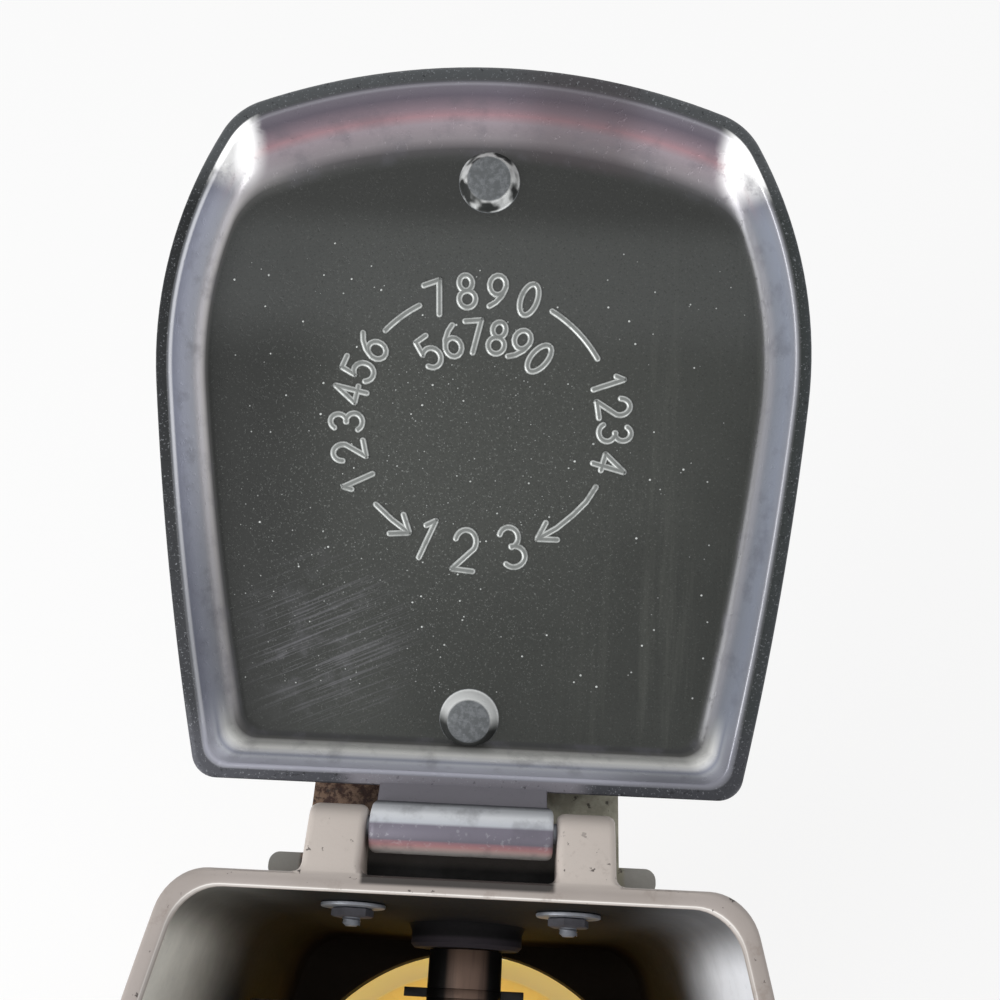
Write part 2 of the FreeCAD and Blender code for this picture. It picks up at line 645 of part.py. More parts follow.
def peg(name, across, along, up, radius, length):
    """An upright cylinder that stands on its base."""
    item = doc.addObject("Part::Cylinder", name)
    bind(item, "Radius", radius)
    bind(item, "Height", length)
    bind(item, "Placement.Base.x", across)
    bind(item, "Placement.Base.y", along)
    bind(item, "Placement.Base.z", up)
    return item


def fuse(label, items):
    item = doc.addObject("Part::MultiFuse", label)
    item.Label = label
    item.Shapes = items
    return item


def cut(label, base, tool):
    item = doc.addObject("Part::Cut", label)
    item.Label = label
    item.Base = base
    item.Tool = tool
    return item


def make_bracket_fasteners():
    """Two pan-head screws through bracket and casting, with washers and nuts in the hopper."""
    screws, washers, nuts = [], [], []
    head_y = flange_y + sheet_thick
    tip_y = washer_y - screw_reach
    for name, side in (("left", -1), ("right", 1)):
        across = screw_side * side
        screws.append(rod(f"screw_head_{name}", across, head_y + screw_head, screw_z, head_radius,
                          screw_head))
        screws.append(rod(f"screw_shank_{name}", across, head_y + overlap, screw_z, screw_radius,
                          head_y + overlap - tip_y))
        disc = rod(f"washer_disc_{name}", across, washer_y, screw_z, washer_radius, washer_thick)
        hole = rod(f"washer_hole_{name}", across, washer_y + overlap, screw_z, screw_radius + fit,
                   washer_thick + overlap * 2)
        washers.append(cut(f"washer_{name}", disc, hole))
        hexagon = doc.addObject("Part::Prism", f"nut_hexagon_{name}")
        hexagon.Polygon = 6
        hexagon.Placement = Placement(Vector(), Rotation(Vector(1, 0, 0), 90))
        bind(hexagon, "Circumradius", nut_flats / math.sqrt(3))
        bind(hexagon, "Height", nut_thick)
        bind(hexagon, "Placement.Base.x", across)
        bind(hexagon, "Placement.Base.y", washer_y - washer_thick)
        bind(hexagon, "Placement.Base.z", screw_z)
        hole = rod(f"nut_hole_{name}", across, washer_y, screw_z, screw_radius + fit,
                   washer_thick + nut_thick + overlap)
        nuts.append(cut(f"nut_{name}", hexagon, hole))
    return [fuse("bracket_screws", screws), fuse("bracket_washers", washers),
            fuse("bracket_nuts", nuts)]


def make_lid():
    """The plated lid, drawn closed and turned back on its hinge to the stop."""
    body = new_body("lid")
    plan = dict(rim_plan)
    plan["rear"] = rear_face + lid_back
    plan["length"] = rim_length + lid_lip + lid_back
    plan["half"] = rim_half + lid_side
    plan["rear_half"] = rim_rear_half - lid_side
    plan["widest"] = rim_widest + lid_back
    plan["corner"] = lid_corner
    bottom = rim_height + lid_seat
    # Shares of the height and of the width at which the crown and the cove change their slope.
    outside = [half_plan(body, f"outside_{index}", bottom + lid_height * rise,
                         inset(plan, lid_crown * turn))
               for index, (rise, turn) in enumerate(((0, 0), (0.5, 0.08), (0.85, 0.35), (1, 1)))]
    shell = loft(body, "Additive", "outside", outside)
    extra = lid_front_cove - lid_cove
    inside = [half_plan(body, f"inside_{index}", bottom + lid_depth * rise,
                        inset(plan, lid_rim + lid_cove * turn, extra * turn))
              for index, (rise, turn) in enumerate(((0, 0), (0.7, 0.5), (0.93, 0.77), (1, 1)))]
    hollow = loft(body, "Subtractive", "inside", inside)
    mirror(body, "both_sides", [shell, hollow])

    for name, place in (("front", front_stud), ("rear", rear_stud)):
        base = new_sketch(body, f"{name}_stud_base", "XY_Plane", bottom + lid_depth + overlap)
        add_circle(base, ZERO, hinge_y - place, stud_radius)
        top = new_sketch(body, f"{name}_stud_top", "XY_Plane", bottom + lid_depth - stud_height)
        add_circle(top, ZERO, hinge_y - place, stud_top)
        loft(body, "Additive", f"{name}_stud", [base, top])

    neck = new_sketch(body, "neck", "YZ_Plane")
    edge_y = rear_face + lid_back - lid_rim / 2
    bite = barrel_radius - overlap
    add_polygon(neck, [(edge_y, bottom), (edge_y, bottom + lid_height / 2),
                       (hinge_y, hinge_z + bite), (hinge_y - bite, hinge_z + overlap)])
    pad(body, neck, (barrel_half - neck_inset) * 2, middle=True)
    barrel = new_sketch(body, "barrel", "YZ_Plane")
    add_circle(barrel, hinge_y, hinge_z, barrel_radius)
    pad(body, barrel, barrel_half * 2, middle=True)
    bore = new_sketch(body, "bore", "YZ_Plane")
    add_circle(bore, hinge_y, hinge_z, pin_radius + running)
    pocket(body, bore)
    fillet(body, is_barrel_rim, barrel_round)

    # The turn about the hinge axis, which moves the origin of the lid as well as its angle.
    body.Placement = Placement(Vector(), Rotation(Vector(-1, 0, 0), float(lid_open)))
    body.setExpression("Placement.Rotation.Angle", "dims.lid_open")
    along = f"({hinge_y.text} * cos(dims.lid_open) + {hinge_z.text} * sin(dims.lid_open))"
    above = f"({hinge_z.text} * cos(dims.lid_open) - {hinge_y.text} * sin(dims.lid_open))"
    body.setExpression("Placement.Base.y", f"{hinge_y.text} - {along}")
    body.setExpression("Placement.Base.z", f"{hinge_z.text} - {above}")
    return body


def is_barrel_rim(edge):
    """Whether an edge is one of the two outer circles of the hinge barrel."""
    curve = edge.Curve
    round_edge = isinstance(curve, Part.Circle) and abs(curve.Radius - float(barrel_radius)) < 0.01
    return round_edge and abs(abs(edge.BoundBox.Center.x) - float(barrel_half)) < 0.01


def make_hinge_pin():
    """A plain pin, held in the ears and free in the barrel."""
    pin = doc.addObject("Part::Cylinder", "hinge_pin")
    pin.Label = "hinge_pin"
    pin.Placement = Placement(Vector(), Rotation(Vector(0, 1, 0), 90))
    bind(pin, "Radius", pin_radius)
    bind(pin, "Height", (ear_inner + ear_width - pin_inset) * 2)
    bind(pin, "Placement.Base.x", -(ear_inner + ear_width - pin_inset))
    bind(pin, "Placement.Base.y", hinge_y)
    bind(pin, "Placement.Base.z", hinge_z)
    return pin


def forward(distance):
    """Y of a place that lies a distance in front of the rim's rear face."""
    return rear_face - distance


def sleeve(label, start, length, outside, inside):
    """A ring about the rotor axis that runs forward from its start."""
    ring = rod(f"{label}_outside", ZERO, start, axle_z, outside, length)
    bore = rod(f"{label}_bore", ZERO, start + overlap, axle_z, inside, length + overlap * 2)
    return cut(label, ring, bore)


def make_bearings():
    rear = sleeve("rear_bush", forward(rear_boss_reach - rear_bush_length), rear_bush_length,
                  rear_journal + bush_wall, rear_journal + running)
    front = sleeve("front_bush", forward(front_boss_inner), front_boss_length,
                   front_journal + bush_wall, front_journal + running)
    thrust = sleeve("thrust_washer", forward(front_boss_outer + seat), thrust_thick,
                    front_boss - casting_round, front_journal + running)
    return [rear, front, thrust]


def make_shaft():
    """The rotor shaft: rear journal, square for the blades, collar, front journal, crank square."""
    body = new_body("rotor_shaft")
    bind(body, "Placement.Base.z", axle_z)
    rear_end = rear_boss_reach - rear_bush_length + end_play
    last_blade = blade_first + blade_pitch * (blade_count - 1) + blade_thick / 2
    collar_end = front_boss_inner - end_play
    journal_end = crank_start - seat
    square_end = journal_end + hub_length - overlap
    stretches = [("rear", rear_end, square_start, rear_journal),
                 ("collar", last_blade, collar_end, spacer_radius),
                 ("front", collar_end, journal_end, front_journal),
                 ("thread", square_end, square_end + thread_length, cap_radius / 2)]
    squares = [("middle", square_start, last_blade, square), ("crank", journal_end, square_end,
                                                              crank_square)]
    for name, start, end, across in squares:
        drawing = new_sketch(body, name, "XZ_Plane", wall_gap + start)
        half = across / 2
        add_polygon(drawing, [(-half, -half), (half, -half), (half, half), (-half, half)])
        pad(body, drawing, end - start)
        if name == "middle":
            for part_name, from_y, to_y, radius in stretches[:3]:
                drawing = new_sketch(body, part_name, "XZ_Plane", wall_gap + from_y)
                add_circle(drawing, ZERO, ZERO, radius)
                pad(body, drawing, to_y - from_y)
    name, start, end, radius = stretches[3]
    drawing = new_sketch(body, name, "XZ_Plane", wall_gap + start)
    add_circle(drawing, ZERO, ZERO, radius)
    pad(body, drawing, end - start)
    return body


def make_blades():
    """Stamped blades with one tooth each, every next one turned a quarter on the square."""
    blades = []
    for index in range(blade_count):
        body = new_body(f"rotor_blade_{index + 1}")
        disc = new_sketch(body, "ring", "XZ_Plane")
        add_circle(disc, ZERO, ZERO, spacer_radius)
        pad(body, disc, blade_thick, middle=True)
        tooth = new_sketch(body, "tooth", "XZ_Plane")
        add_polygon(tooth, [
            (-tooth_root, ZERO), (-tooth_waist, -blade_tip / 2), (-tooth_end, -blade_tip),
            (tooth_end, -blade_tip), (tooth_waist, -blade_tip / 2), (tooth_root, ZERO)])
        pad(body, tooth, blade_thick, middle=True)
        hole = new_sketch(body, "hole", "XZ_Plane")
        half = square / 2 + fit
        add_polygon(hole, [(-half, -half), (half, -half), (half, half), (-half, half)])
        pocket(body, hole)
        body.Placement = Placement(Vector(), Rotation(Vector(0, 1, 0), index * 90.0))
        bind(body, "Placement.Base.y", forward(blade_first + blade_pitch * index))
        bind(body, "Placement.Base.z", axle_z)
        blades.append(body)
    return blades


def make_spacers():
    """Sleeves that hold the blades apart on the square of the shaft."""
    rear = blade_first - blade_thick / 2
    items = [sleeve("rotor_spacer_1", forward(square_start), rear - square_start, spacer_radius,
                    spacer_bore)]
    for index in range(1, blade_count):
        start = blade_first + blade_pitch * (index - 1) + blade_thick / 2
        items.append(sleeve(f"rotor_spacer_{index + 1}", forward(start), blade_pitch - blade_thick,
                            spacer_radius, spacer_bore))
    return items


def make_comb(label, side, steps):
    """A comb of fingers between the blades, screwed to the ledge on one side of the hopper."""
    body = new_body(label)
    places = [blade_first + blade_pitch * (step + 0.5) for step in steps]
    bar = new_sketch(body, "bar", "XY_Plane", axle_z)
    near, far = comb_inner * side, (comb_inner + comb_width) * side
    rear = forward(blade_first + blade_pitch * 0.5 - comb_margin)
    front = forward(blade_first + blade_pitch * (blade_count - 1.5) + comb_margin)
    add_polygon(bar, [(near, front), (far, front), (far, rear), (near, rear)])
    pad(body, bar, comb_thick, middle=True)
    for index, place in enumerate(places):
        finger = new_sketch(body, f"finger_{index + 1}", "XY_Plane", axle_z)
        middle = forward(place)
        inner = finger_tip * side
        root = near + overlap * side
        add_polygon(finger, [(root, middle - finger_root / 2), (inner, middle - finger_end / 2),
                             (inner, middle + finger_end / 2), (root, middle + finger_root / 2)])
        pad(body, finger, comb_thick, middle=True)
    holes = new_sketch(body, "holes", "XY_Plane", axle_z)
    for step in comb_steps:
        add_circle(holes, comb_line * side, comb_screw_y(step), comb_screw + fit)
    pocket(body, holes)
    return body


def make_comb_screws():
    items = []
    top = axle_z + comb_thick / 2
    for side in (-1, 1):
        for index, step in enumerate(comb_steps):
            name = f"comb_screw_{index + 1}_{'left' if side < 0 else 'right'}"
            along = comb_screw_y(step)
            items.append(peg(f"{name}_head", comb_line * side, along, top, comb_head,
                             comb_head_height))
            items.append(peg(f"{name}_shank", comb_line * side, along,
                             top - comb_screw_length, comb_screw, comb_screw_length + overlap))
    return fuse("comb_screws", items)


def make_crank():
    """The crank: a hub on the square of the shaft and a tapering arm with an eye for the knob."""
    body = new_body("crank_arm")
    bind(body, "Placement.Base.z", axle_z)
    hub = new_sketch(body, "hub", "XZ_Plane", wall_gap + crank_start)
    add_circle(hub, ZERO, ZERO, hub_radius)
    pad(body, hub, hub_length)
    arm = new_sketch(body, "arm", "XZ_Plane", wall_gap + arm_start)
    add_polygon(arm, [(ZERO, -arm_hub_width / 2), (crank_reach, -arm_end_width / 2),
                      (crank_reach, arm_end_width / 2), (ZERO, arm_hub_width / 2)])
    pad(body, arm, arm_thick)
    eye = new_sketch(body, "eye", "XZ_Plane", wall_gap + arm_start)
    add_circle(eye, crank_reach, ZERO, arm_end_width / 2)
    pad(body, eye, arm_thick)
    hole = new_sketch(body, "hole", "XZ_Plane", wall_gap + crank_start)
    half = crank_square / 2 + fit
    add_polygon(hole, [(-half, -half), (half, -half), (half, half), (-half, half)])
    pocket(body, hole)
    spindle_hole = new_sketch(body, "spindle_hole", "XZ_Plane", wall_gap + crank_start)
    add_circle(spindle_hole, crank_reach, ZERO, spindle_radius + fit)
    pocket(body, spindle_hole)
    return body


def make_crank_fittings():
    """The cap nut on the shaft's thread, and the spindle that carries the knob."""
    cap_start = crank_start + hub_length
    cap_base = rod("cap_base", ZERO, forward(cap_start), axle_z, cap_radius, cap_length)
    dome = doc.addObject("Part::Sphere", "cap_dome")
    bind(dome, "Radius", cap_radius)
    bind(dome, "Placement.Base.y", forward(cap_start + cap_length))
    bind(dome, "Placement.Base.z", axle_z)
    solid = fuse("cap_solid", [cap_base, dome])
    bore = rod("cap_bore", ZERO, forward(crank_start), axle_z, cap_radius / 2 + fit,
               hub_length + thread_length)
    rear_trim = rod("cap_trim", ZERO, forward(crank_start), axle_z, cap_radius * 2, hub_length)
    cap = cut("crank_nut", solid, fuse("cap_tools", [bore, rear_trim]))

    end = arm_start + arm_thick + knob_gap + knob_length
    spindle = fuse("knob_spindle", [
        rod("spindle_shank", crank_reach, forward(arm_start), axle_z, spindle_radius,
            end + overlap - arm_start),
        rod("spindle_collar", crank_reach, forward(arm_start + arm_thick), axle_z,
            spindle_radius * 1.6, collar_thick),
        rod("spindle_head", crank_reach, forward(end + seat * 2), axle_z, spindle_radius * 1.5,
            head_thick)])
    return [cap, spindle]


def make_knob():
    """The turned grip: a neck, a belly and a rounded end, free on its spindle."""
    body = new_body("crank_knob")
    bind(body, "Placement.Base.x", crank_reach)
    bind(body, "Placement.Base.y", forward(arm_start + arm_thick + knob_gap))
    bind(body, "Placement.Base.z", axle_z)
    stations = [(0.0, knob_neck), (0.3, knob_radius * 0.8), (0.68, knob_radius),
                (0.92, knob_radius * 0.74), (1.0, knob_radius * 0.45)]
    sections = []
    for index, (share, radius) in enumerate(stations):
        ring = new_sketch(body, f"ring_{index + 1}", "XZ_Plane", knob_length * share)
        add_circle(ring, ZERO, ZERO, radius)
        sections.append(ring)
    loft(body, "Additive", "grip", sections, ruled=False)
    bore = new_sketch(body, "bore", "XZ_Plane")
    add_circle(bore, ZERO, ZERO, spindle_radius + running)
    pocket(body, bore)
    return body


def make_cup():
    """The moulded cup: a tapering pot with a flange that rides on the rails of the casting."""
    body = new_body("ice_cup")
    bind(body, "Placement.Base.y", throat_y)
    bind(body, "Placement.Base.z", lip_top + seat)
    flange = new_sketch(body, "flange", "XY_Plane")
    back = cup_mouth + flange_reach
    add_polygon(flange, [(-flange_half, -back), (flange_half, -back), (flange_half, back),
                         (-flange_half, back)])
    pad(body, flange, flange_thick)
    fillet(body, is_upright, flange_corner)
    tab = new_sketch(body, "tab", "XY_Plane")
    add_polygon(tab, [(-tab_end, -back - tab_reach), (tab_end, -back - tab_reach),
                      (tab_root, -back + flange_reach * 2), (-tab_root, -back + flange_reach * 2)])
    pad(body, tab, flange_thick)
    deep = flange_thick - cup_height
    outside = new_sketch(body, "outside", "XZ_Plane")
    add_polygon(outside, [(ZERO, deep), (cup_foot, deep), (cup_mouth, overlap), (ZERO, overlap)])
    spin(body, outside, "Revolution")
    inside = new_sketch(body, "inside", "XZ_Plane")
    add_polygon(inside, [(ZERO, deep + cup_wall), (cup_foot - cup_wall, deep + cup_wall),
                         (cup_mouth - cup_wall, flange_thick + overlap),
                         (ZERO, flange_thick + overlap)])
    spin(body, inside, "Groove")
    return body


def is_upright(edge):
    box = edge.BoundBox
    return box.XLength < 0.01 and box.YLength < 0.01


def spin(body, drawing, kind):
    """Turn a profile fully about the upright axis of its sketch."""
    feature = body.newObject(f"PartDesign::{kind}", f"{drawing.Name}_turn")
    feature.Profile = drawing
    feature.ReferenceAxis = (drawing, ["V_Axis"])
    feature.Angle = 360.0
    body.Tip = feature
    doc.recompute()
    return feature


hopper_items = [make_hopper(), make_bracket(), *make_bracket_fasteners(), make_hinge_pin()]
rotor_items = [make_shaft(), *make_blades(), *make_spacers(), make_crank(), *make_crank_fittings()]
combs = [make_comb("coarse_comb", -1, (0, 2, 4)), make_comb("fine_comb", 1, (0, 1, 2, 3, 4))]
nodes = [*hopper_items, *make_bearings(), *combs, make_comb_screws(), make_lid(), *rotor_items,
         make_knob(), make_cup()]

doc.recompute()
for item in doc.Objects:
    if "Invalid" in item.State or "Error" in item.State:
        raise RuntimeError(f"{item.Name} failed: {item.State}")
for node in nodes:
    if node.Shape.isNull() or not node.Shape.isValid() or not node.Shape.Solids:
        raise RuntimeError(f"{node.Label} has no sound shape")

os.makedirs("parts", exist_ok=True)
for node in nodes:
    node.Shape.exportStep(f"parts/{node.Label}.step")
    print(node.Label, len(node.Shape.Solids), round(node.Shape.Volume, 1))
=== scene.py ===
import math

import bmesh
import bpy
from mathutils import Matrix, Vector


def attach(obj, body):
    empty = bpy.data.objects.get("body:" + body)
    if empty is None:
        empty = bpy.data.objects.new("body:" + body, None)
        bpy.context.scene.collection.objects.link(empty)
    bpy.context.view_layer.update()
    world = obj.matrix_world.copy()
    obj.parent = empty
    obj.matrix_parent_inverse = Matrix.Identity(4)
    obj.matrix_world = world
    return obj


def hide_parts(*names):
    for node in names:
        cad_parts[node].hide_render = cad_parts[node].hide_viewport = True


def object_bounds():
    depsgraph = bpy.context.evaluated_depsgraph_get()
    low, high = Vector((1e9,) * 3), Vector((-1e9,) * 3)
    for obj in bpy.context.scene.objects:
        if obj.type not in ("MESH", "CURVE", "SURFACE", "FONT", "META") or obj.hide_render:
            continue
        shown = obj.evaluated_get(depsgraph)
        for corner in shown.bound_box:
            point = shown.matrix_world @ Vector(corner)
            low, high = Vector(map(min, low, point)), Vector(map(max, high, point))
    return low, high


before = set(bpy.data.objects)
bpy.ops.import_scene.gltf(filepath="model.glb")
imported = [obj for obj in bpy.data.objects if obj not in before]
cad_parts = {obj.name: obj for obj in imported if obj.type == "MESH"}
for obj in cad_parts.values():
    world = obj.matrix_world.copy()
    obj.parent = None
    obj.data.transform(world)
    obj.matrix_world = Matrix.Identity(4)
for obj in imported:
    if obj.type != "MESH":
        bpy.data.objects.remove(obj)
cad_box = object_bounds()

# The hopper casting: one piece of cast metal under a warm grey enamel. It has a
# shield-shaped hopper with two bearing bosses, ledges for the combs, a round throat, rails for
# the cup and two hinge ears. The enamel is chipped on its edges. Inside, its colour is partly
# grime and partly painted shade, darker downwards and on the rear wall, with painted light on
# the side walls and a painted highlight along the rim's inner edge.
MM = 0.001
WALL = 3.2
RIM_TOP, BASE_TOP, FOOT = 38.0, -76.0, -82.0
AXLE = -28.0
THROAT = Vector((0.0, -96.0))
HINGE = Vector((0.0, -24.5, 32.5))
RIM = {"back": -34.0, "length": 137.0, "half": 65.2, "back_half": 56.0, "widest": 82.0,
       "corner": 9.0, "side": 700.0, "shoulder": 85.0, "nose": 14.0, "bow": 135.0}
BASE = {"back": -35.2, "length": 124.0, "half": 62.0, "back_half": 52.0, "widest": 68.0,
        "corner": 12.0, "side": 600.0, "shoulder": 72.0, "nose": 24.0, "bow": 95.0}


def shield(plan, inset=0.0, front=0.0):
    """Outline of tangent arcs: straight back, corners, long sides, shoulders, nose and bow."""
    back = plan["back"] - inset
    length = plan["length"] - 2 * inset - front
    radii = [plan["corner"], plan["side"] - inset, plan["shoulder"] - inset, plan["nose"],
             plan["bow"] - inset]
    corner = Vector((plan["back_half"] - inset - radii[0], back - radii[0]))
    bulge = Vector((plan["half"] - inset - radii[2], back - plan["widest"] + inset))
    bow = Vector((0.0, back - length + radii[4]))

    def meet(a, first, b, second):
        along = b - a
        gap = along.length
        reach = (first ** 2 - second ** 2 + gap ** 2) / (2 * gap)
        rise = math.sqrt(first ** 2 - reach ** 2)
        along.normalize()
        across = Vector((along.y, -along.x))
        return [a + along * reach + across * rise * sign for sign in (1, -1)]

    side = min(meet(corner, radii[1] - radii[0], bulge, radii[1] - radii[2]), key=lambda p: p.x)
    nose = max(meet(bulge, radii[2] - radii[3], bow, radii[4] - radii[3]), key=lambda p: p.x)
    centres = [corner, side, bulge, nose, bow]
    turns = [math.pi / 2] + [math.atan2((a - b).y, (a - b).x) for a, b in
                             ((corner, side), (bulge, side), (nose, bulge), (nose, bow))]
    turns.append(-math.pi / 2)
    half = [Vector((corner.x * step / 10, back)) for step in range(10)]
    for centre, radius, start, stop, count in zip(centres, radii, turns, turns[1:],
                                                  (10, 16, 18, 16, 14)):
        for step in range(count):
            angle = start + (stop - start) * step / count
            half.append(centre + Vector((math.cos(angle), math.sin(angle))) * radius)
    half.append(Vector((0.0, back - length)))
    return half + [Vector((-p.x, p.y)) for p in half[-2:0:-1]]


def skin(rings, marks=None, loop=False):
    """Shell of quads between rings of points, closed by end faces or into a loop."""
    count = len(rings[0])
    points = [Vector(point) * MM for ring in rings for point in ring]
    faces = []
    for index in range(len(rings) if loop else len(rings) - 1):
        low, high = index * count, (index + 1) % len(rings) * count
        for step in range(count):
            after = (step + 1) % count
            faces.append((low + step, low + after, high + after, high + step))
    if not loop:
        faces.append(tuple(reversed(range(count))))
        faces.append(tuple(range(len(points) - count, len(points))))
    values = [mark for mark in marks or [0.0] * len(rings) for _ in range(count)]
    return points, faces, values


def marked(shell, mark):
    """Shell with one mark on all its points, by which its material tells them apart."""
    return shell[0], shell[1], [mark] * len(shell[0])


def turned(profile, centre, axis, steps=72):
    """Shell turned from (distance, radius) pairs about an axis through a centre."""
    axis = Vector(axis).normalized()
    across = axis.orthogonal().normalized()
    other = axis.cross(across)
    angles = [2 * math.pi * step / steps for step in range(steps)]
    return skin([[Vector(centre) + axis * along
                  + (across * math.cos(angle) + other * math.sin(angle)) * radius
                  for angle in angles] for along, radius in profile])


def block(outline, place, axis, edge, rounds=3):
    """Bar whose outline is drawn by a function of two numbers, with its sharp edges rounded."""
    form = bmesh.new()
    low = [form.verts.new(Vector(place(u, v, axis[0])) * MM) for u, v in outline]
    high = [form.verts.new(Vector(place(u, v, axis[1])) * MM) for u, v in outline]
    form.faces.new(low)
    form.faces.new(list(reversed(high)))
    for index in range(len(outline)):
        after = (index + 1) % len(outline)
        form.faces.new((low[after], low[index], high[index], high[after]))
    bmesh.ops.recalc_face_normals(form, faces=form.faces)
    form.normal_update()
    sharp = [item for item in form.edges if item.calc_face_angle(0) > math.radians(28)]
    bmesh.ops.bevel(form, geom=sharp, offset=edge * MM, segments=rounds, profile=0.5,
                    affect="EDGES", clamp_overlap=True)
    form.verts.index_update()
    points = [point.co.copy() for point in form.verts]
    faces = [tuple(point.index for point in face.verts) for face in form.faces]
    form.free()
    return points, faces, [0.0] * len(points)


def piece(name, shells, material, body, nodes=(), crease=32):
    """Join shells into one object on a body, in place of the nodes that it stands for."""
    points, faces, values = [], [], []
    for shell in shells:
        faces += [tuple(len(points) + corner for corner in face) for face in shell[1]]
        points += shell[0]
        values += shell[2]
    mesh = bpy.data.meshes.new(name)
    mesh.from_pydata(points, [], faces)
    mark = mesh.attributes.new("mark", "FLOAT", "POINT")
    mark.data.foreach_set("value", values)
    form = bmesh.new()
    form.from_mesh(mesh)
    bmesh.ops.recalc_face_normals(form, faces=form.faces)
    form.to_mesh(mesh)
    form.free()
    place_mesh(name, mesh, material, body, nodes, crease)


def linked(name, data):
    """New object in the scene."""
    item = bpy.data.objects.new(name, data)
    bpy.context.scene.collection.objects.link(item)
    return item


def place_mesh(name, mesh, material, body, nodes=(), crease=32):
    """Give a finished mesh its shading and its material, and hang it on a body."""
    for face in mesh.polygons:
        face.use_smooth = True
    mesh.set_sharp_from_angle(angle=math.radians(crease))
    mesh.materials.clear()
    mesh.materials.append(material)
    item = linked(name, mesh)
    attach(item, body)
    if nodes:
        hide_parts(*nodes)


class Socket:
    """An output in a node tree. Arithmetic adds Math nodes; node() adds any other node."""

    def __init__(self, tree, end=None):
        self.tree = tree
        self.end = end

    def node(self, kind, settings=None, inputs=None, output=0):
        """Output of a new node, with its settings set and its inputs set or linked."""
        made = self.tree.nodes.new(kind)
        for name, value in (settings or {}).items():
            if name == "stops":
                for _ in range(len(value) - 2):
                    made.color_ramp.elements.new(0.5)
                for stop, (position, _) in zip(made.color_ramp.elements, value):
                    stop.position = position
                for stop, (_, colour) in zip(made.color_ramp.elements, value):
                    stop.color = colour
            else:
                setattr(made, name, value)
        for name, value in (inputs or {}).items():
            if isinstance(value, Socket):
                self.tree.links.new(value.end, made.inputs[name])
            else:
                made.inputs[name].default_value = value
        return Socket(self.tree, made.outputs[output] if made.outputs else None)

    def math(self, operation, *others):
        """Result of a Math node on this number and others."""
        return self.node("ShaderNodeMath", {"operation": operation},
                         dict(enumerate((self, *others))))

    def __add__(self, other):
        return self.math("ADD", other)

    __radd__ = __add__

    def __sub__(self, other):
        return self.math("SUBTRACT", other)

    def __rsub__(self, other):
        return (self * -1.0) + other

    def __mul__(self, other):
        return self.math("MULTIPLY", other)

    __rmul__ = __mul__

    def __truediv__(self, other):
        return self.math("DIVIDE", other)


def hue(code):
    """Linear colour of one written in six hexadecimal digits."""
    parts = [int(code[index:index + 2], 16) / 255 for index in (0, 2, 4)]
    return tuple(part / 12.92 if part <= 0.04045 else ((part + 0.055) / 1.055) ** 2.4
                 for part in parts) + (1.0,)


def noise(place, size, detail=3.0, rough=0.55):
    """Cloudy noise whose lumps have a size in millimetres."""
    return place.node("ShaderNodeTexNoise", {}, {"Vector": place, "Scale": 1.0 / size,
                                                 "Detail": detail, "Roughness": rough})


def step(value, low, high):
    """Nought below low, one above high, and a smooth rise between."""
    return value.node("ShaderNodeMapRange", {"interpolation_type": "SMOOTHSTEP"},
                      {"Value": value, "From Min": low, "From Max": high})


def blend(share, first, second):
    """Mix of two colours, each a Socket or a linear colour."""
    return share.node("ShaderNodeMix", {"data_type": "RGBA"}, {0: share, 6: first, 7: second}, 2)


def ramp(value, *stops, unit=4.5, start=0.0):
    """Colour that follows a value through stops, which are given in the value's own units."""
    return value.node("ShaderNodeValToRGB", {"stops": [
        (start + at / unit, hue(code)) for at, code in stops]}, {0: value})


def part_of(place, axis):
    """One coordinate of a point."""
    return place.node("ShaderNodeSeparateXYZ", {}, {0: place}, axis)


def vector(operation, *parts, output=0):
    """Result of a Vector Math node on points, of which the first is a Socket."""
    return parts[0].node("ShaderNodeVectorMath", {"operation": operation},
                         dict(enumerate(parts)), output)


def away(place, centre):
    """Distance of a point from a centre."""
    return vector("DISTANCE", place, centre, output=1)


def mapped(place, **change):
    """Point stretched by a Scale or turned by a Rotation."""
    return place.node("ShaderNodeMapping", {}, {"Vector": place, **change})


def bump(height, strength, distance):
    """Normal of a height in millimetres."""
    return height.node("ShaderNodeBump", {}, {"Height": height, "Strength": strength,
                                              "Distance": distance * MM})


def fresh_tree(owner):
    """Start of an emptied node tree."""
    owner.use_nodes = True
    owner.node_tree.nodes.clear()
    return Socket(owner.node_tree)


def finish(name, lay):
    """Material laid by a function from a point in millimetres to the shader's inputs."""
    material = bpy.data.materials.new(name)
    start = fresh_tree(material)
    place = start.node("ShaderNodeTexCoord", {}, {}, "Object")
    place = place.node("ShaderNodeVectorMath", {"operation": "SCALE"}, {0: place, "Scale": 1000.0})
    shader = start.node("ShaderNodeBsdfPrincipled", {}, lay(place))
    start.node("ShaderNodeOutputMaterial", {}, {"Surface": shader})
    return material


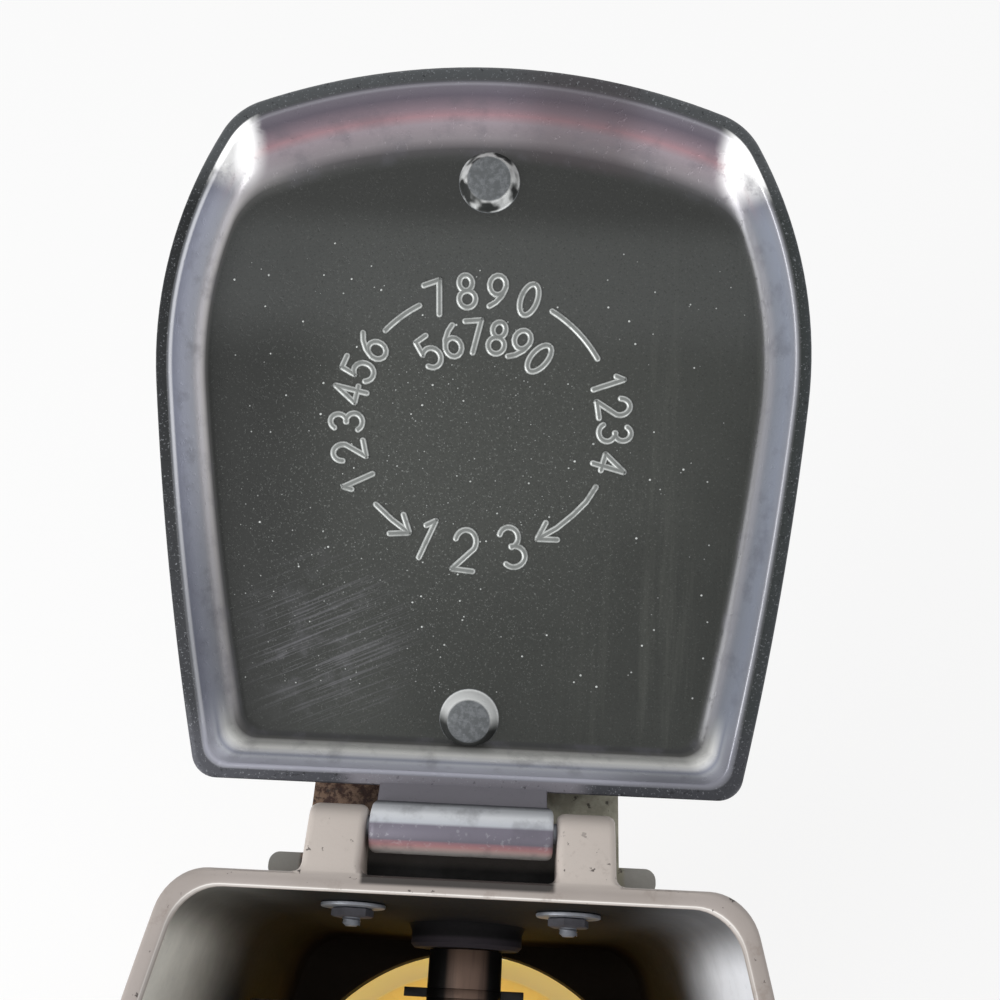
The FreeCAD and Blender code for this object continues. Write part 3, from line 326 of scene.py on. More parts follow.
def lay_enamel(place):
    """Grey enamel: clean outside; grime and painted shade within, painted light on the side walls.
    """
    inside = place.node("ShaderNodeAttribute", {"attribute_name": "mark"}, {}, "Fac")
    across, along, height = (part_of(place, axis) for axis in "XYZ")
    aside = across.math("ABSOLUTE")
    cloud = noise(place, 26.0)
    fine = noise(place, 1.3, 2.0)
    coat = blend(step(cloud, 0.35, 0.7), hue("a59c96"), hue("afa6a1"))
    coat = blend(step(fine, 0.55, 0.8) * 0.25, coat, hue("a39a91"))
    rear = step(along, -48.0, -39.0)
    left = step(across, -26.0, -56.0) * step(height, -24.0, 33.0) * (1.0 - rear * 0.8)
    right = step(across, 30.0, 57.0) * step(height, -28.0, 26.0) * (1.0 - rear * 0.8)
    smear = noise(place, 11.0, 5.0, 0.6)
    dirt_shade_and_light = blend(step(smear, 0.3, 0.75), hue("110f10"), hue("1f1b1f"))
    # Painted shade: darker downwards, near black on the upper rear wall, the rear boss a little
    # less dark.
    dirt_shade_and_light = blend(step(height, 8.0, -30.0) * 0.8, dirt_shade_and_light, hue("060506"))
    dirt_shade_and_light = blend(rear * step(height, -20.0, 10.0) * 0.92, dirt_shade_and_light, hue("020203"))
    boss = step(along, -40.4, -41.4) * step(along, -48.0, -46.0)
    boss = boss * step(aside, 18.0, 15.0) * step(height, -48.0, -45.0)
    dirt_shade_and_light = blend(boss * 0.9, dirt_shade_and_light, hue("2b252b"))
    # Painted light: the side walls made pale where they catch light.
    dirt_shade_and_light = blend((left * (0.55 + smear * 0.6)).math("MINIMUM", 1.0), dirt_shade_and_light, hue("efede4"))
    dirt_shade_and_light = blend((right * (0.75 + smear * 0.6)).math("MINIMUM", 1.0), dirt_shade_and_light, hue("f4f6fb"))
    # A painted warm glow low in the hopper, towards the throat above the yellow cup.
    dirt_shade_and_light = blend(step(height, -48.0, -72.0) * 0.4, dirt_shade_and_light, hue("3a2a14"))
    scuffs = noise(place, 4.0, 6.0, 0.7)
    dirt_shade_and_light = blend(step(scuffs, 0.58, 0.72) * 0.3 * (left + right), dirt_shade_and_light, hue("aeb0b4"))
    colour = blend(step(inside, 0.5, 0.8), coat, dirt_shade_and_light)
    # A painted highlight along the rim's inner edge.
    edge = step(inside, 0.05, 0.2) * step(inside, 0.48, 0.3)
    colour = blend(edge * (step(along, -44.0, -37.0) * 0.45 + 0.5), colour, hue("efebe6"))
    # Painted light: the ears' tops made lighter.
    ears = step(along, -35.5, -33.5) * step(height, 20.0, 24.0)
    colour = blend(ears * 0.75, colour, hue("d5cbc3"))
    shade = step(along, -36.1, -35.3) * step(aside, 18.6, 17.6)
    colour = blend(shade * step(height, 35.5, 36.8) * 0.9, colour, hue("14100f"))
    rim = step(height, 35.6, 37.6).math("MAXIMUM", step(height, -78.6, -81.2))
    chip = step(noise(place, 1.9, 4.0, 0.62), 0.655, 0.68) * rim
    stain = step(noise(place, 6.0, 5.0, 0.7), 0.56, 0.7) * rim
    colour = blend(stain * 0.4, colour, hue("8b7d74"))
    colour = blend(chip, colour, hue("5b5450"))
    return {"Base Color": colour, "Roughness": 0.36 + fine * 0.14 + inside * 0.4,
            "Normal": bump(noise(place, 0.9, 2.0) * 0.05 + cloud * 0.4 - chip * 0.25, 0.5, 1.0),
            "Metallic": step(inside, 0.5, 0.8) * rear * (1.0 - boss) * 0.5,
            "Specular IOR Level": 0.4}


enamel = finish("taupe_enamel", lay_enamel)


def wall_ring(height, inset, inner=False):
    """Outline of the casting's wall at a height, drawn in by an inset."""
    foot = BASE_TOP if inner else FOOT
    share = (height - foot) / (RIM_TOP - foot)
    low, high = shield(BASE, inset), shield(RIM, inset)
    return [(b.lerp(a, share).x, b.lerp(a, share).y, height) for a, b in zip(high, low)]


def throat_ring(height, radius):
    """Circle of the throat, with its points in line with those of the wall."""
    spokes = [(point - THROAT).normalized() * radius + THROAT for point in shield(BASE, WALL)]
    return [(point.x, point.y, height) for point in spokes]


def ear_rings(side):
    """Sections of a hinge ear from its flared foot in the wall to its round far end."""
    wall, face, tip, eye, flared, rounding = -35.6, -34.0, -20.6, 3.9, 1.7, 1.5
    rings = []
    for along in (-35.4, -34.0, -33.8, -33.5, -33.0, -32.3, -31.0, -29.0, -27.0, -25.5, -24.5,
                  -23.5, -22.6, -21.9, -21.3, -20.95, -20.72, -20.62):
        beyond = along - HINGE.y
        top = 5.5 + (3.87 - 5.5) * (along - wall) / 11.6
        low = -8.0 + (8.0 - 3.16) * (along - wall) / 13.4
        if beyond > 0.0:
            top = math.sqrt(max(eye ** 2 - beyond ** 2, 0.2))
        if beyond > 2.3:
            low = -top
        spread = 1 - min(max((along - face) / flared, 0.0), 1.0)
        ahead = max(rounding - (tip - along), 0.0)
        half = (5.65 + flared * (1 - math.sqrt(1 - spread ** 2))
                - (rounding - math.sqrt(max(rounding ** 2 - ahead ** 2, 0.0))))
        corner = min(rounding, (top - low) * 0.48)
        ring = []
        for turn, x, z in ((0, half, top), (90, -half, top), (180, -half, low), (270, half, low)):
            inward = math.copysign(corner, x), math.copysign(corner, 1 if z == top else -1)
            for part in range(6):
                angle = math.radians(turn + 90 * part / 5)
                ring.append(((24.15 + x - inward[0] + corner * math.cos(angle)) * side, along,
                             HINGE.z + z - inward[1] + corner * math.sin(angle)))
        rings.append(ring)
    return rings


stations = [(-82.0, 1.2, 0), (-81.6, 0.35, 0), (-80.8, 0.0, 0), (-60.0, 0.0, 0), (-30.0, 0.0, 0),
            (0.0, 0.0, 0), (20.0, 0.0, 0), (36.9, 0.0, 0), (37.5, 0.14, 0), (37.85, 0.45, 0),
            (38.0, 0.95, 0)]
hollow = [(38.0, 2.45, 0), (37.93, 2.75, 0.1), (37.75, 2.95, 0.4), (37.45, 3.12, 0.4),
          (37.0, 3.2, 0.5), (36.4, 3.2, 1), (30.0, 3.2, 1), (20.0, 3.2, 1), (0.0, 3.2, 1),
          (-30.0, 3.2, 1), (-60.0, 3.2, 1), (-73.0, 3.2, 1), (-75.1, 4.1, 1), (-76.0, 6.2, 1)]
rings = [wall_ring(height, inset) for height, inset, _ in stations]
rings += [wall_ring(height, inset, inner=True) for height, inset, _ in hollow]
rings += [throat_ring(-76.0, 56.0), throat_ring(-76.6, 54.6), throat_ring(-81.5, 54.2),
          throat_ring(-82.0, 54.7)]
shells = [skin(rings, [mark for _, _, mark in stations + hollow] + [1, 1, 1, 0], loop=True)]
for side in (-1, 1):
    shells.append(skin(ear_rings(side)))
    for end, reach in ((58.7, (-79.0, -92.0)), (60.4, (-90.0, -125.0))):
        ledge = [(41.0, -30.0), (end, -30.0), (end, -44.0), (41.0, -36.0)]
        shells.append(marked(block(ledge, lambda u, v, w: (u * side, w, v), reach, 1.0), 1.0))
    rail = [(57.6, -81.0), (59.8, -81.0), (59.8, -87.6), (54.6, -87.6), (54.6, -85.4),
            (57.6, -85.4)]
    shells.append(block(rail, lambda u, v, w: (u * side, w, v), (-54.0, -122.0), 0.5))
rear_boss = turned([(0.0, 15.5), (1.0, 14.1), (2.4, 13.4), (5.1, 13.4), (5.9, 12.6), (5.9, 7.6),
                    (0.0, 7.6)], (0, -37.1, AXLE), (0, -1, 0))
front_boss = turned([(0.0, 14.4), (0.6, 15.0), (22.4, 15.0), (23.2, 14.76), (23.8, 14.2),
                     (24.0, 13.4), (24.0, 9.52), (0.0, 9.52)], (0, -152, AXLE), (0, -1, 0))
shells += [marked(rear_boss, 1.0), front_boss]
piece("hopper_casting", shells, enamel, "frame", ["hopper_body"])

# The wall bracket: mild steel strip bent into an inverted U, with a tongue that fills the gap
# below the hinge. It is screwed to the back of the casting, and has rusted where the plating
# has gone.


def settled(holder):
    """Mesh of an object with its modifiers applied. The object is removed."""
    view = bpy.context.evaluated_depsgraph_get()
    mesh = bpy.data.meshes.new_from_object(holder.evaluated_get(view))
    bpy.data.objects.remove(holder)
    return mesh


def soften(name, nodes, edge=0.3, rounds=2):
    """Smooth mesh of CAD nodes with their edges rounded."""
    form = bmesh.new()
    for node in nodes:
        form.from_mesh(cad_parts[node].data)
    bmesh.ops.remove_doubles(form, verts=form.verts, dist=1e-6)
    bmesh.ops.dissolve_limit(form, angle_limit=math.radians(0.6), verts=form.verts,
                             edges=form.edges)
    mesh = bpy.data.meshes.new(name)
    form.to_mesh(mesh)
    form.free()
    holder = linked(f"{name}_rough", mesh)
    round_off = holder.modifiers.new("edge", "BEVEL")
    round_off.width = edge * MM
    round_off.segments = rounds
    round_off.limit_method = "ANGLE"
    round_off.angle_limit = math.radians(34)
    round_off.use_clamp_overlap = True
    done = settled(holder)
    done.name = name
    return done


def dress(name, nodes, material, body, edge=0.3, rounds=2):
    """Show a softened copy of CAD nodes in their place."""
    place_mesh(name, soften(name, nodes, edge, rounds), material, body, nodes)


def lay_bracket(place):
    """Rusted strip: brown rust on one half, dull olive plating on the other, grey lugs, painted
    shade under the barrel.
    """
    across, along = part_of(place, "X"), part_of(place, "Y")
    cloud = noise(place, 6.0, 5.0, 0.65)
    speck = noise(place, 1.5, 4.0, 0.7)
    patch = noise(place, 16.0, 5.0, 0.6)
    side = step(across + patch * 130.0 - 65.0, -16.0, 16.0)
    olive = blend(step(cloud, 0.4, 0.65), hue("8f8d7e"), hue("b5b2a2"))
    rust = blend(step(speck, 0.42, 0.6), hue("33190f"), hue("7d6553"))
    colour = blend(side, rust, olive)
    spot = step(noise(place, 2.2, 3.0, 0.6), 0.62, 0.7)
    colour = blend(spot * 0.8, colour, hue("2b2320"))
    outside = across.math("ABSOLUTE")
    colour = blend(step(outside, 32.0, 33.0), colour, blend(cloud, hue("85847f"), hue("aaa9a4")))
    # Painted shade on the tongue under the hinge barrel, and a painted black shadow further back in
    # the gap.
    gap = step(along, -24.5, -26.5) * step(outside, 19.5, 18.5)
    colour = blend(gap, colour, hue("56524f"))
    colour = blend(step(along, -29.2, -31.2) * gap, colour, hue("050404"))
    return {"Base Color": colour, "Roughness": 0.5 + speck * 0.3, "Metallic": side * 0.3,
            "Normal": bump(speck * 0.4 + cloud * 0.3, 0.6, 0.5)}


bracket_steel = finish("rusted_strip", lay_bracket)
dress("wall_strap", ["wall_bracket"], bracket_steel, "frame", 0.5, 3)

# Screws, washers and nuts: zinc-plated steel, dull and dirty. Two pan-head machine screws hold
# the bracket, with their threads cut as one spiral, and four short ones hold the combs.
SCREW_SIDE, SCREW_HEIGHT = 22.0, 16.5


def open_tree(name, inputs):
    """Node tree for a modifier: its first Socket is the mesh, the others its named sizes."""
    tree = bpy.data.node_groups.new(name, "GeometryNodeTree")
    tree.is_modifier = True
    tree.interface.new_socket("Geometry", in_out="INPUT", socket_type="NodeSocketGeometry")
    tree.interface.new_socket("Geometry", in_out="OUTPUT", socket_type="NodeSocketGeometry")
    for label, kind in inputs:
        tree.interface.new_socket(label, in_out="INPUT", socket_type=f"NodeSocket{kind}")
    entry = tree.nodes.new("NodeGroupInput")
    return tree, [Socket(tree, entry.outputs[index]) for index in range(len(inputs) + 1)]


def close_tree(result, material):
    """End a node tree: its instances made real, in one material."""
    solid = result.node("GeometryNodeRealizeInstances", {}, {0: result})
    solid = solid.node("GeometryNodeSetMaterial", {}, {0: solid, "Material": material})
    solid.node("NodeGroupOutput", {}, {0: solid})


def join(*parts):
    """Several geometries as one."""
    both = parts[0].tree.nodes.new("GeometryNodeJoinGeometry")
    for part in parts:
        part.tree.links.new(part.end, both.inputs[0])
    return Socket(parts[0].tree, both.outputs[0])


def grow(tree, mesh, sizes):
    """Mesh that a node tree makes from a starting mesh and its sizes, in metres and radians."""
    holder = linked(f"{tree.name}_holder", mesh)
    nodes = holder.modifiers.new("nodes", "NODES")
    nodes.node_group = tree
    for item in tree.interface.items_tree:
        if item.in_out == "INPUT" and item.name in sizes:
            nodes[item.identifier] = sizes[item.name]
    return settled(holder)


def bare_mesh(name, points, edges=(), faces=()):
    """Mesh of points in millimetres."""
    mesh = bpy.data.meshes.new(name)
    mesh.from_pydata([Vector(point) * MM for point in points], edges, faces)
    return mesh


def lay_zinc(place):
    """Dull zinc plating."""
    cloud = noise(place, 2.0, 4.0, 0.6)
    colour = blend(cloud, hue("6f7279"), hue("9fa2a9"))
    return {"Base Color": colour, "Roughness": 0.34 + cloud * 0.3, "Metallic": 0.6,
            "Normal": bump(noise(place, 0.5), 0.3, 0.1)}


def lay_grimy(place):
    """Zinc plating under a film of black grime."""
    cloud = noise(place, 2.0, 4.0, 0.6)
    return {"Base Color": blend(cloud, hue("2c2b2f"), hue("57565c")), "Metallic": 0.3,
            "Roughness": 0.5 + cloud * 0.2, "Normal": bump(cloud, 0.3, 0.2)}


zinc = finish("dull_zinc", lay_zinc)
grimy = finish("grimy_zinc", lay_grimy)

thread, (blank, core, turns, pitch) = open_tree("thread", [
    ("Core", "Float"), ("Turns", "Float"), ("Pitch", "Float")])
coil = blank.node("GeometryNodeCurveSpiral", {}, {
    "Resolution": 24, "Rotations": turns, "Start Radius": core, "End Radius": core,
    "Height": turns * pitch})
ridge = blank.node("GeometryNodeCurvePrimitiveCircle", {}, {"Resolution": 3,
                                                            "Radius": pitch * 0.5})
coil = coil.node("GeometryNodeCurveToMesh", {}, {0: coil, 1: ridge, "Fill Caps": True})
coil = coil.node("GeometryNodeTransform", {}, {"Geometry": coil,
                                               "Rotation": (math.radians(-90), 0, 0)})
coil = coil.node("GeometryNodeTransform", {}, {
    "Geometry": coil, "Translation": Vector((-SCREW_SIDE, -41.3, SCREW_HEIGHT)) * MM})
close_tree(join(coil, blank), zinc)

row, (unit, count, stride, turn, hub) = open_tree("row", [
    ("Count", "Int"), ("Step", "Vector"), ("Turn", "Float"), ("Hub", "Vector")])
back = hub.node("ShaderNodeVectorMath", {"operation": "SCALE"}, {0: hub, "Scale": -1.0})
unit = unit.node("GeometryNodeTransform", {}, {"Geometry": unit, "Translation": back})
line = unit.node("GeometryNodeMeshLine", {"mode": "OFFSET"}, {
    "Count": count, "Start Location": hub, "Offset": stride})
angle = unit.node("GeometryNodeInputIndex") * turn
angle = angle.node("ShaderNodeCombineXYZ", {}, {"Y": angle})
close_tree(unit.node("GeometryNodeInstanceOnPoints", {}, {
    "Points": line, "Instance": unit, "Rotation": angle}), zinc)


def repeat(mesh, count, stride, turn=0.0, hub=(0.0, 0.0, 0.0)):
    """Copies of a mesh in a row, each turned further about its hub's Y axis."""
    return grow(row, mesh, {"Count": count, "Step": Vector(stride) * MM,
                            "Turn": math.radians(turn), "Hub": Vector(hub) * MM})


def both_sides(mesh):
    """A bracket fastener on the left, and its copy on the right."""
    return repeat(mesh, 2, (2 * SCREW_SIDE, 0, 0))


def lathe(name, profile, centre, axis, steps=48):
    """Mesh turned from (distance, radius) pairs."""
    points, faces, _ = turned(profile, centre, axis, steps)
    return bare_mesh(name, [point / MM for point in points], (), faces)


shank = lathe("shank", [(0.0, 1.1), (0.5, 1.7), (9.56, 1.7), (9.56, 3.4), (9.8, 3.7), (10.3, 3.8),
                        (11.2, 3.5), (11.8, 2.8), (12.16, 1.7), (12.16, 1.0), (11.3, 0.8),
                        (11.3, 0.1)], (-SCREW_SIDE, -41.7, SCREW_HEIGHT), (0, 1, 0))
screw = grow(thread, shank, {"Core": 1.62 * MM, "Turns": 12.6, "Pitch": 0.7 * MM})
place_mesh("strap_screws", both_sides(screw), zinc, "frame", ["bracket_screws"])
disc = lathe("disc", [(0.0, 2.1), (0.0, 6.3), (0.12, 6.55), (0.3, 6.6), (0.66, 6.6), (0.8, 6.4),
                      (0.8, 2.1)], (-SCREW_SIDE, -38.3, SCREW_HEIGHT), (0, 1, 0))
place_mesh("strap_washers", both_sides(disc), zinc, "frame", ["bracket_washers"])
hexagon = lathe("hexagon", [(0.0, 2.05), (0.0, 3.8), (0.25, 4.33), (1.55, 4.33), (1.8, 3.8),
                            (1.8, 2.05)], (-SCREW_SIDE, -40.1, SCREW_HEIGHT), (0, 1, 0), 6)
place_mesh("strap_nuts", both_sides(hexagon), grimy, "frame", ["bracket_nuts"])
short = lathe("short", [(0.0, 0.9), (0.4, 1.5), (9.0, 1.5), (9.0, 3.1), (9.2, 3.35), (9.6, 3.4),
                        (10.3, 3.0), (10.75, 2.2), (10.9, 1.3), (10.9, 0.9), (10.1, 0.7),
                        (10.1, 0.1)], (-45.5, -88.2, -35.0), (0, 0, 1), 32)
fixings = repeat(repeat(short, 2, (0, -27.6, 0)), 2, (91, 0, 0))
place_mesh("fixing_screws", fixings, zinc, "frame", ["comb_screws"])
pin = lathe("pin", [(0.0, 1.5), (0.3, 1.9), (0.5, 2.0), (58.5, 2.0), (58.7, 1.9), (59.0, 1.5)],
            HINGE - Vector((29.5, 0.0, 0.0)), (1, 0, 0), 32)
place_mesh("pivot_pin", pin, zinc, "frame", ["hinge_pin"])

# Combs: flat steel bars with fingers between which the blades pass, coarse on the left and
# fine on the right. Ground flat, tinned long ago and now grey-brown.


def lay_steel(place):
    """Ground steel, browned in patches."""
    cloud = noise(place, 4.0, 5.0, 0.65)
    colour = blend(step(cloud, 0.3, 0.7), hue("3a322e"), hue("6f6864"))
    return {"Base Color": colour, "Roughness": 0.3 + cloud * 0.3, "Metallic": 0.85,
            "Normal": bump(noise(place, 0.8, 4.0), 0.3, 0.15)}


tool_steel = finish("worn_steel", lay_steel)
dress("comb_coarse", ["coarse_comb"], tool_steel, "frame", 0.4)
dress("comb_fine", ["fine_comb"], tool_steel, "frame", 0.4)

# Bearings: two sintered bronze bushes pressed into the bosses, and a bronze thrust washer
# behind the crank.


def lay_bronze(place):
    """Sintered bronze, fine-grained."""
    grit = noise(place, 0.5, 3.0)
    return {"Base Color": blend(grit, hue("7b5a33"), hue("b68a55")), "Metallic": 0.9,
            "Roughness": 0.4 + grit * 0.2, "Normal": bump(grit, 0.3, 0.1)}


bronze = finish("sintered_bronze", lay_bronze)
dress("bush_rear", ["rear_bush"], bronze, "frame", 0.2)
dress("bush_front", ["front_bush"], bronze, "frame", 0.2)
dress("washer_thrust", ["thrust_washer"], bronze, "frame", 0.2)

# Rotor: six stamped blades with one tooth each, every next one turned a quarter on the square
# shaft, and sleeves between them. Steel, browned by water on the sleeves.
PITCH, FIRST_BLADE = 16.4, -52.6
dress("shaft", ["rotor_shaft"], tool_steel, "rotor", 0.3)


def lay_sleeves(place):
    """Browned steel with streaks along the shaft, painted shade at the flanks, a lighter middle."""
    cloud = noise(place, 5.0, 5.0, 0.65)
    streak = noise(mapped(place, Scale=(1.0, 0.06, 1.0)), 2.2, 3.0)
    colour = blend(step(streak, 0.35, 0.65), hue("4b3c34"), hue("6b564a"))
    colour = blend(step(cloud, 0.6, 0.75) * 0.5, colour, hue("2a201b"))
    # Painted shade on both flanks of the round sleeves, leaving a lighter middle as a painted
    # highlight.
    side = (part_of(place, "X") - 0.8).math("ABSOLUTE")
    colour = blend(step(side, 3.6, 5.4), colour, hue("0d0b0a"))
    return {"Base Color": colour, "Metallic": 0.5, "Roughness": 0.35 + cloud * 0.25,
            "Normal": bump(streak * 0.3 + cloud * 0.2, 0.4, 0.3)}


browned = finish("browned_steel", lay_sleeves)
dress("first_sleeve", ["rotor_spacer_1"], browned, "rotor", 0.1)
sleeves = repeat(soften("sleeve", ["rotor_spacer_2"], 0.1), 5, (0, -PITCH, 0))
place_mesh("sleeves", sleeves, browned, "rotor",
           [f"rotor_spacer_{index}" for index in range(2, 7)])


def lay_blades(place):
    """Black steel on the teeth, ground at their root, and the sleeves' brown on the hub."""
    looks = lay_sleeves(place)
    axis = vector("MULTIPLY_ADD", place, (1.0, 0.0, 1.0), (0.0, 0.0, -AXLE))
    reach = vector("LENGTH", axis, output=1)
    ground = blend(step(noise(place, 3.0, 5.0, 0.65), 0.35, 0.7), hue("1b191a"), hue("57534f"))
    dark = blend(step(reach, 16.0, 24.0), hue("151314"), ground)
    looks["Base Color"] = blend(step(reach, 9.2, 9.9), looks["Base Color"], dark)
    return looks


blade_steel = finish("blade_steel", lay_blades)
blade = repeat(soften("blade", ["rotor_blade_1"], 0.12), 6, (0, -PITCH, 0), 90,
               (0, FIRST_BLADE, AXLE))
place_mesh("blades", blade, blade_steel, "rotor",
           [f"rotor_blade_{index}" for index in range(1, 7)])

# Crank: a plated arm on the shaft's square, held by a plated cap nut, with a turned black
# plastic knob on a headed spindle.


def lay_bright(place):
    """Bright plating, faintly smeared."""
    cloud = noise(place, 9.0, 4.0)
    colour = blend(cloud, hue("aeaeb6"), hue("d6d6dc"))
    return {"Base Color": colour, "Roughness": 0.08 + noise(place, 2.5, 4.0) * 0.14,
            "Metallic": 1.0}


bright = finish("bright_plating", lay_bright)
dress("crank", ["crank_arm"], bright, "rotor", 0.8, 3)
dress("cap_nut", ["crank_nut"], bright, "rotor", 0.3)
dress("spindle", ["knob_spindle"], zinc, "rotor", 0.3)


def lay_knob(place):
    """Black plastic, handled to an uneven gloss."""
    grit = noise(place, 0.7)
    return {"Base Color": blend(grit, hue("151416"), hue("242326")),
            "Roughness": 0.22 + noise(place, 6.0, 5.0) * 0.2,
            "Normal": bump(grit, 0.15, 0.1)}


black = finish("black_plastic", lay_knob)
dress("knob", ["crank_knob"], black, "knob", 0.3)

# Lid: a die-cast plate, copper, nickel and chrome plated, with a coved hollow on its inside and
# a hinge barrel cast on. The plating on the floor of the hollow has gone dull and grey, its dark
# tone partly a painted reflection, and the cove and the barrel carry painted reflections. Marks
# on the points run from 0 on the floor over the cove to 2, the rim to 3.7 and the outside at
# 4.5; the neck has 5, the barrel 6, and the studs have marks below 0.
TILT = math.radians(30)
SEAT = 5.7
COVER = dict(RIM, back=-30.5, length=143.4, half=65.1, back_half=55.8, widest=85.5, corner=5.0)
ALONG = Vector((0.0, math.cos(TILT), math.sin(TILT)))
FACING = Vector((0.0, -math.sin(TILT), math.cos(TILT)))
FLOOR = -7.5


def on_lid(across, along, above):
    """World place of a point on the open lid, from its hinge axis and its rim plane."""
    return HINGE + Vector((across, 0, 0)) + ALONG * along + FACING * (above - SEAT)


def lid_rings(outline, above, shrinks=(1.0,)):
    """Rings of the lid at one height, shrunk by shares towards its middle."""
    middle = Vector((0.0, -104.0))
    return [[on_lid((middle + (point - middle) * share).x,
                    HINGE.y - (middle + (point - middle) * share).y, above)
             for point in outline] for share in shrinks]


crown = [(13.0, -11.0, 4.5), (10.2, -10.75, 4.5), (7.6, -10.3, 4.5), (5.6, -9.75, 4.5),
         (4.0, -9.0, 4.5), (2.7, -8.0, 4.5), (1.75, -6.8, 4.5), (1.05, -5.4, 4.5), (0.5, -3.6, 4.4),
         (0.2, -1.9, 4.3), (0.0, -0.6, 4.0), (0.12, -0.2, 3.6), (0.4, 0.0, 3.3), (1.2, 0.0, 3.0),
         (2.0, 0.0, 2.95), (2.35, 0.0, 2.55), (2.9, 0.0, 2.3), (3.14, -0.05, 2.25),
         (3.3, -0.2, 2.2), (3.42, -0.5, 1.95),
         (4.2, -1.95, 1.8), (5.0, -3.5, 1.6), (5.75, -5.0, 1.3), (6.1, -5.7, 1.12),
         (6.6, -6.4, 0.95), (7.2, -6.95, 0.7), (7.8, -7.3, 0.4), (8.4, -7.5, 0.12)]
rings = lid_rings(shield(COVER, 13.0), -11.0, [0.08 * index + 0.12 for index in range(11)])
marks = [4.5] * 11
lip, cove, deeper_front = 3.3, 5.1, 7.9
for inset, above, mark in crown:
    deeper = max(inset - lip, 0.0) / cove * deeper_front if mark < 3.0 else 0.0
    rings += lid_rings(shield(COVER, inset, deeper), above)
    marks.append(mark)
rings += lid_rings(shield(COVER, crown[-1][0], deeper_front), FLOOR,
                   [0.99 - 0.06 * index for index in range(16)])
marks += [0.0] * 16
shells = [skin(rings, marks)]
for along in (129.2, 18.6):
    form = turned([(0.0, 6.4), (0.3, 6.0), (0.7, 5.75), (2.2, 4.75), (2.5, 4.45), (2.6, 4.0),
                   (2.6, 1.0)], on_lid(0.0, along, FLOOR - 0.1), FACING, 48)
    marks = [mark for mark in (-0.2, -1.0, -1.0, -1.0, -0.7, -0.4, -0.4) for _ in range(48)]
    shells.append((form[0], form[1], marks))
barrel = [(-17.8, 2.1), (-17.8, 3.7), (-17.65, 4.3), (-17.2, 4.72), (-16.6, 4.9), (16.6, 4.9),
          (17.2, 4.72), (17.65, 4.3), (17.8, 3.7), (17.8, 2.1)]
shells.append(marked(turned(barrel, HINGE, (1, 0, 0), 64), 6.0))
neck = [(7.8, -1.2), (7.8, -5.5), (0.0, 1.7), (3.6, 3.6)]
shells.append(marked(block(neck, lambda u, v, w: on_lid(w, u, v), (-17.2, 16.6), 0.3), 5.0))


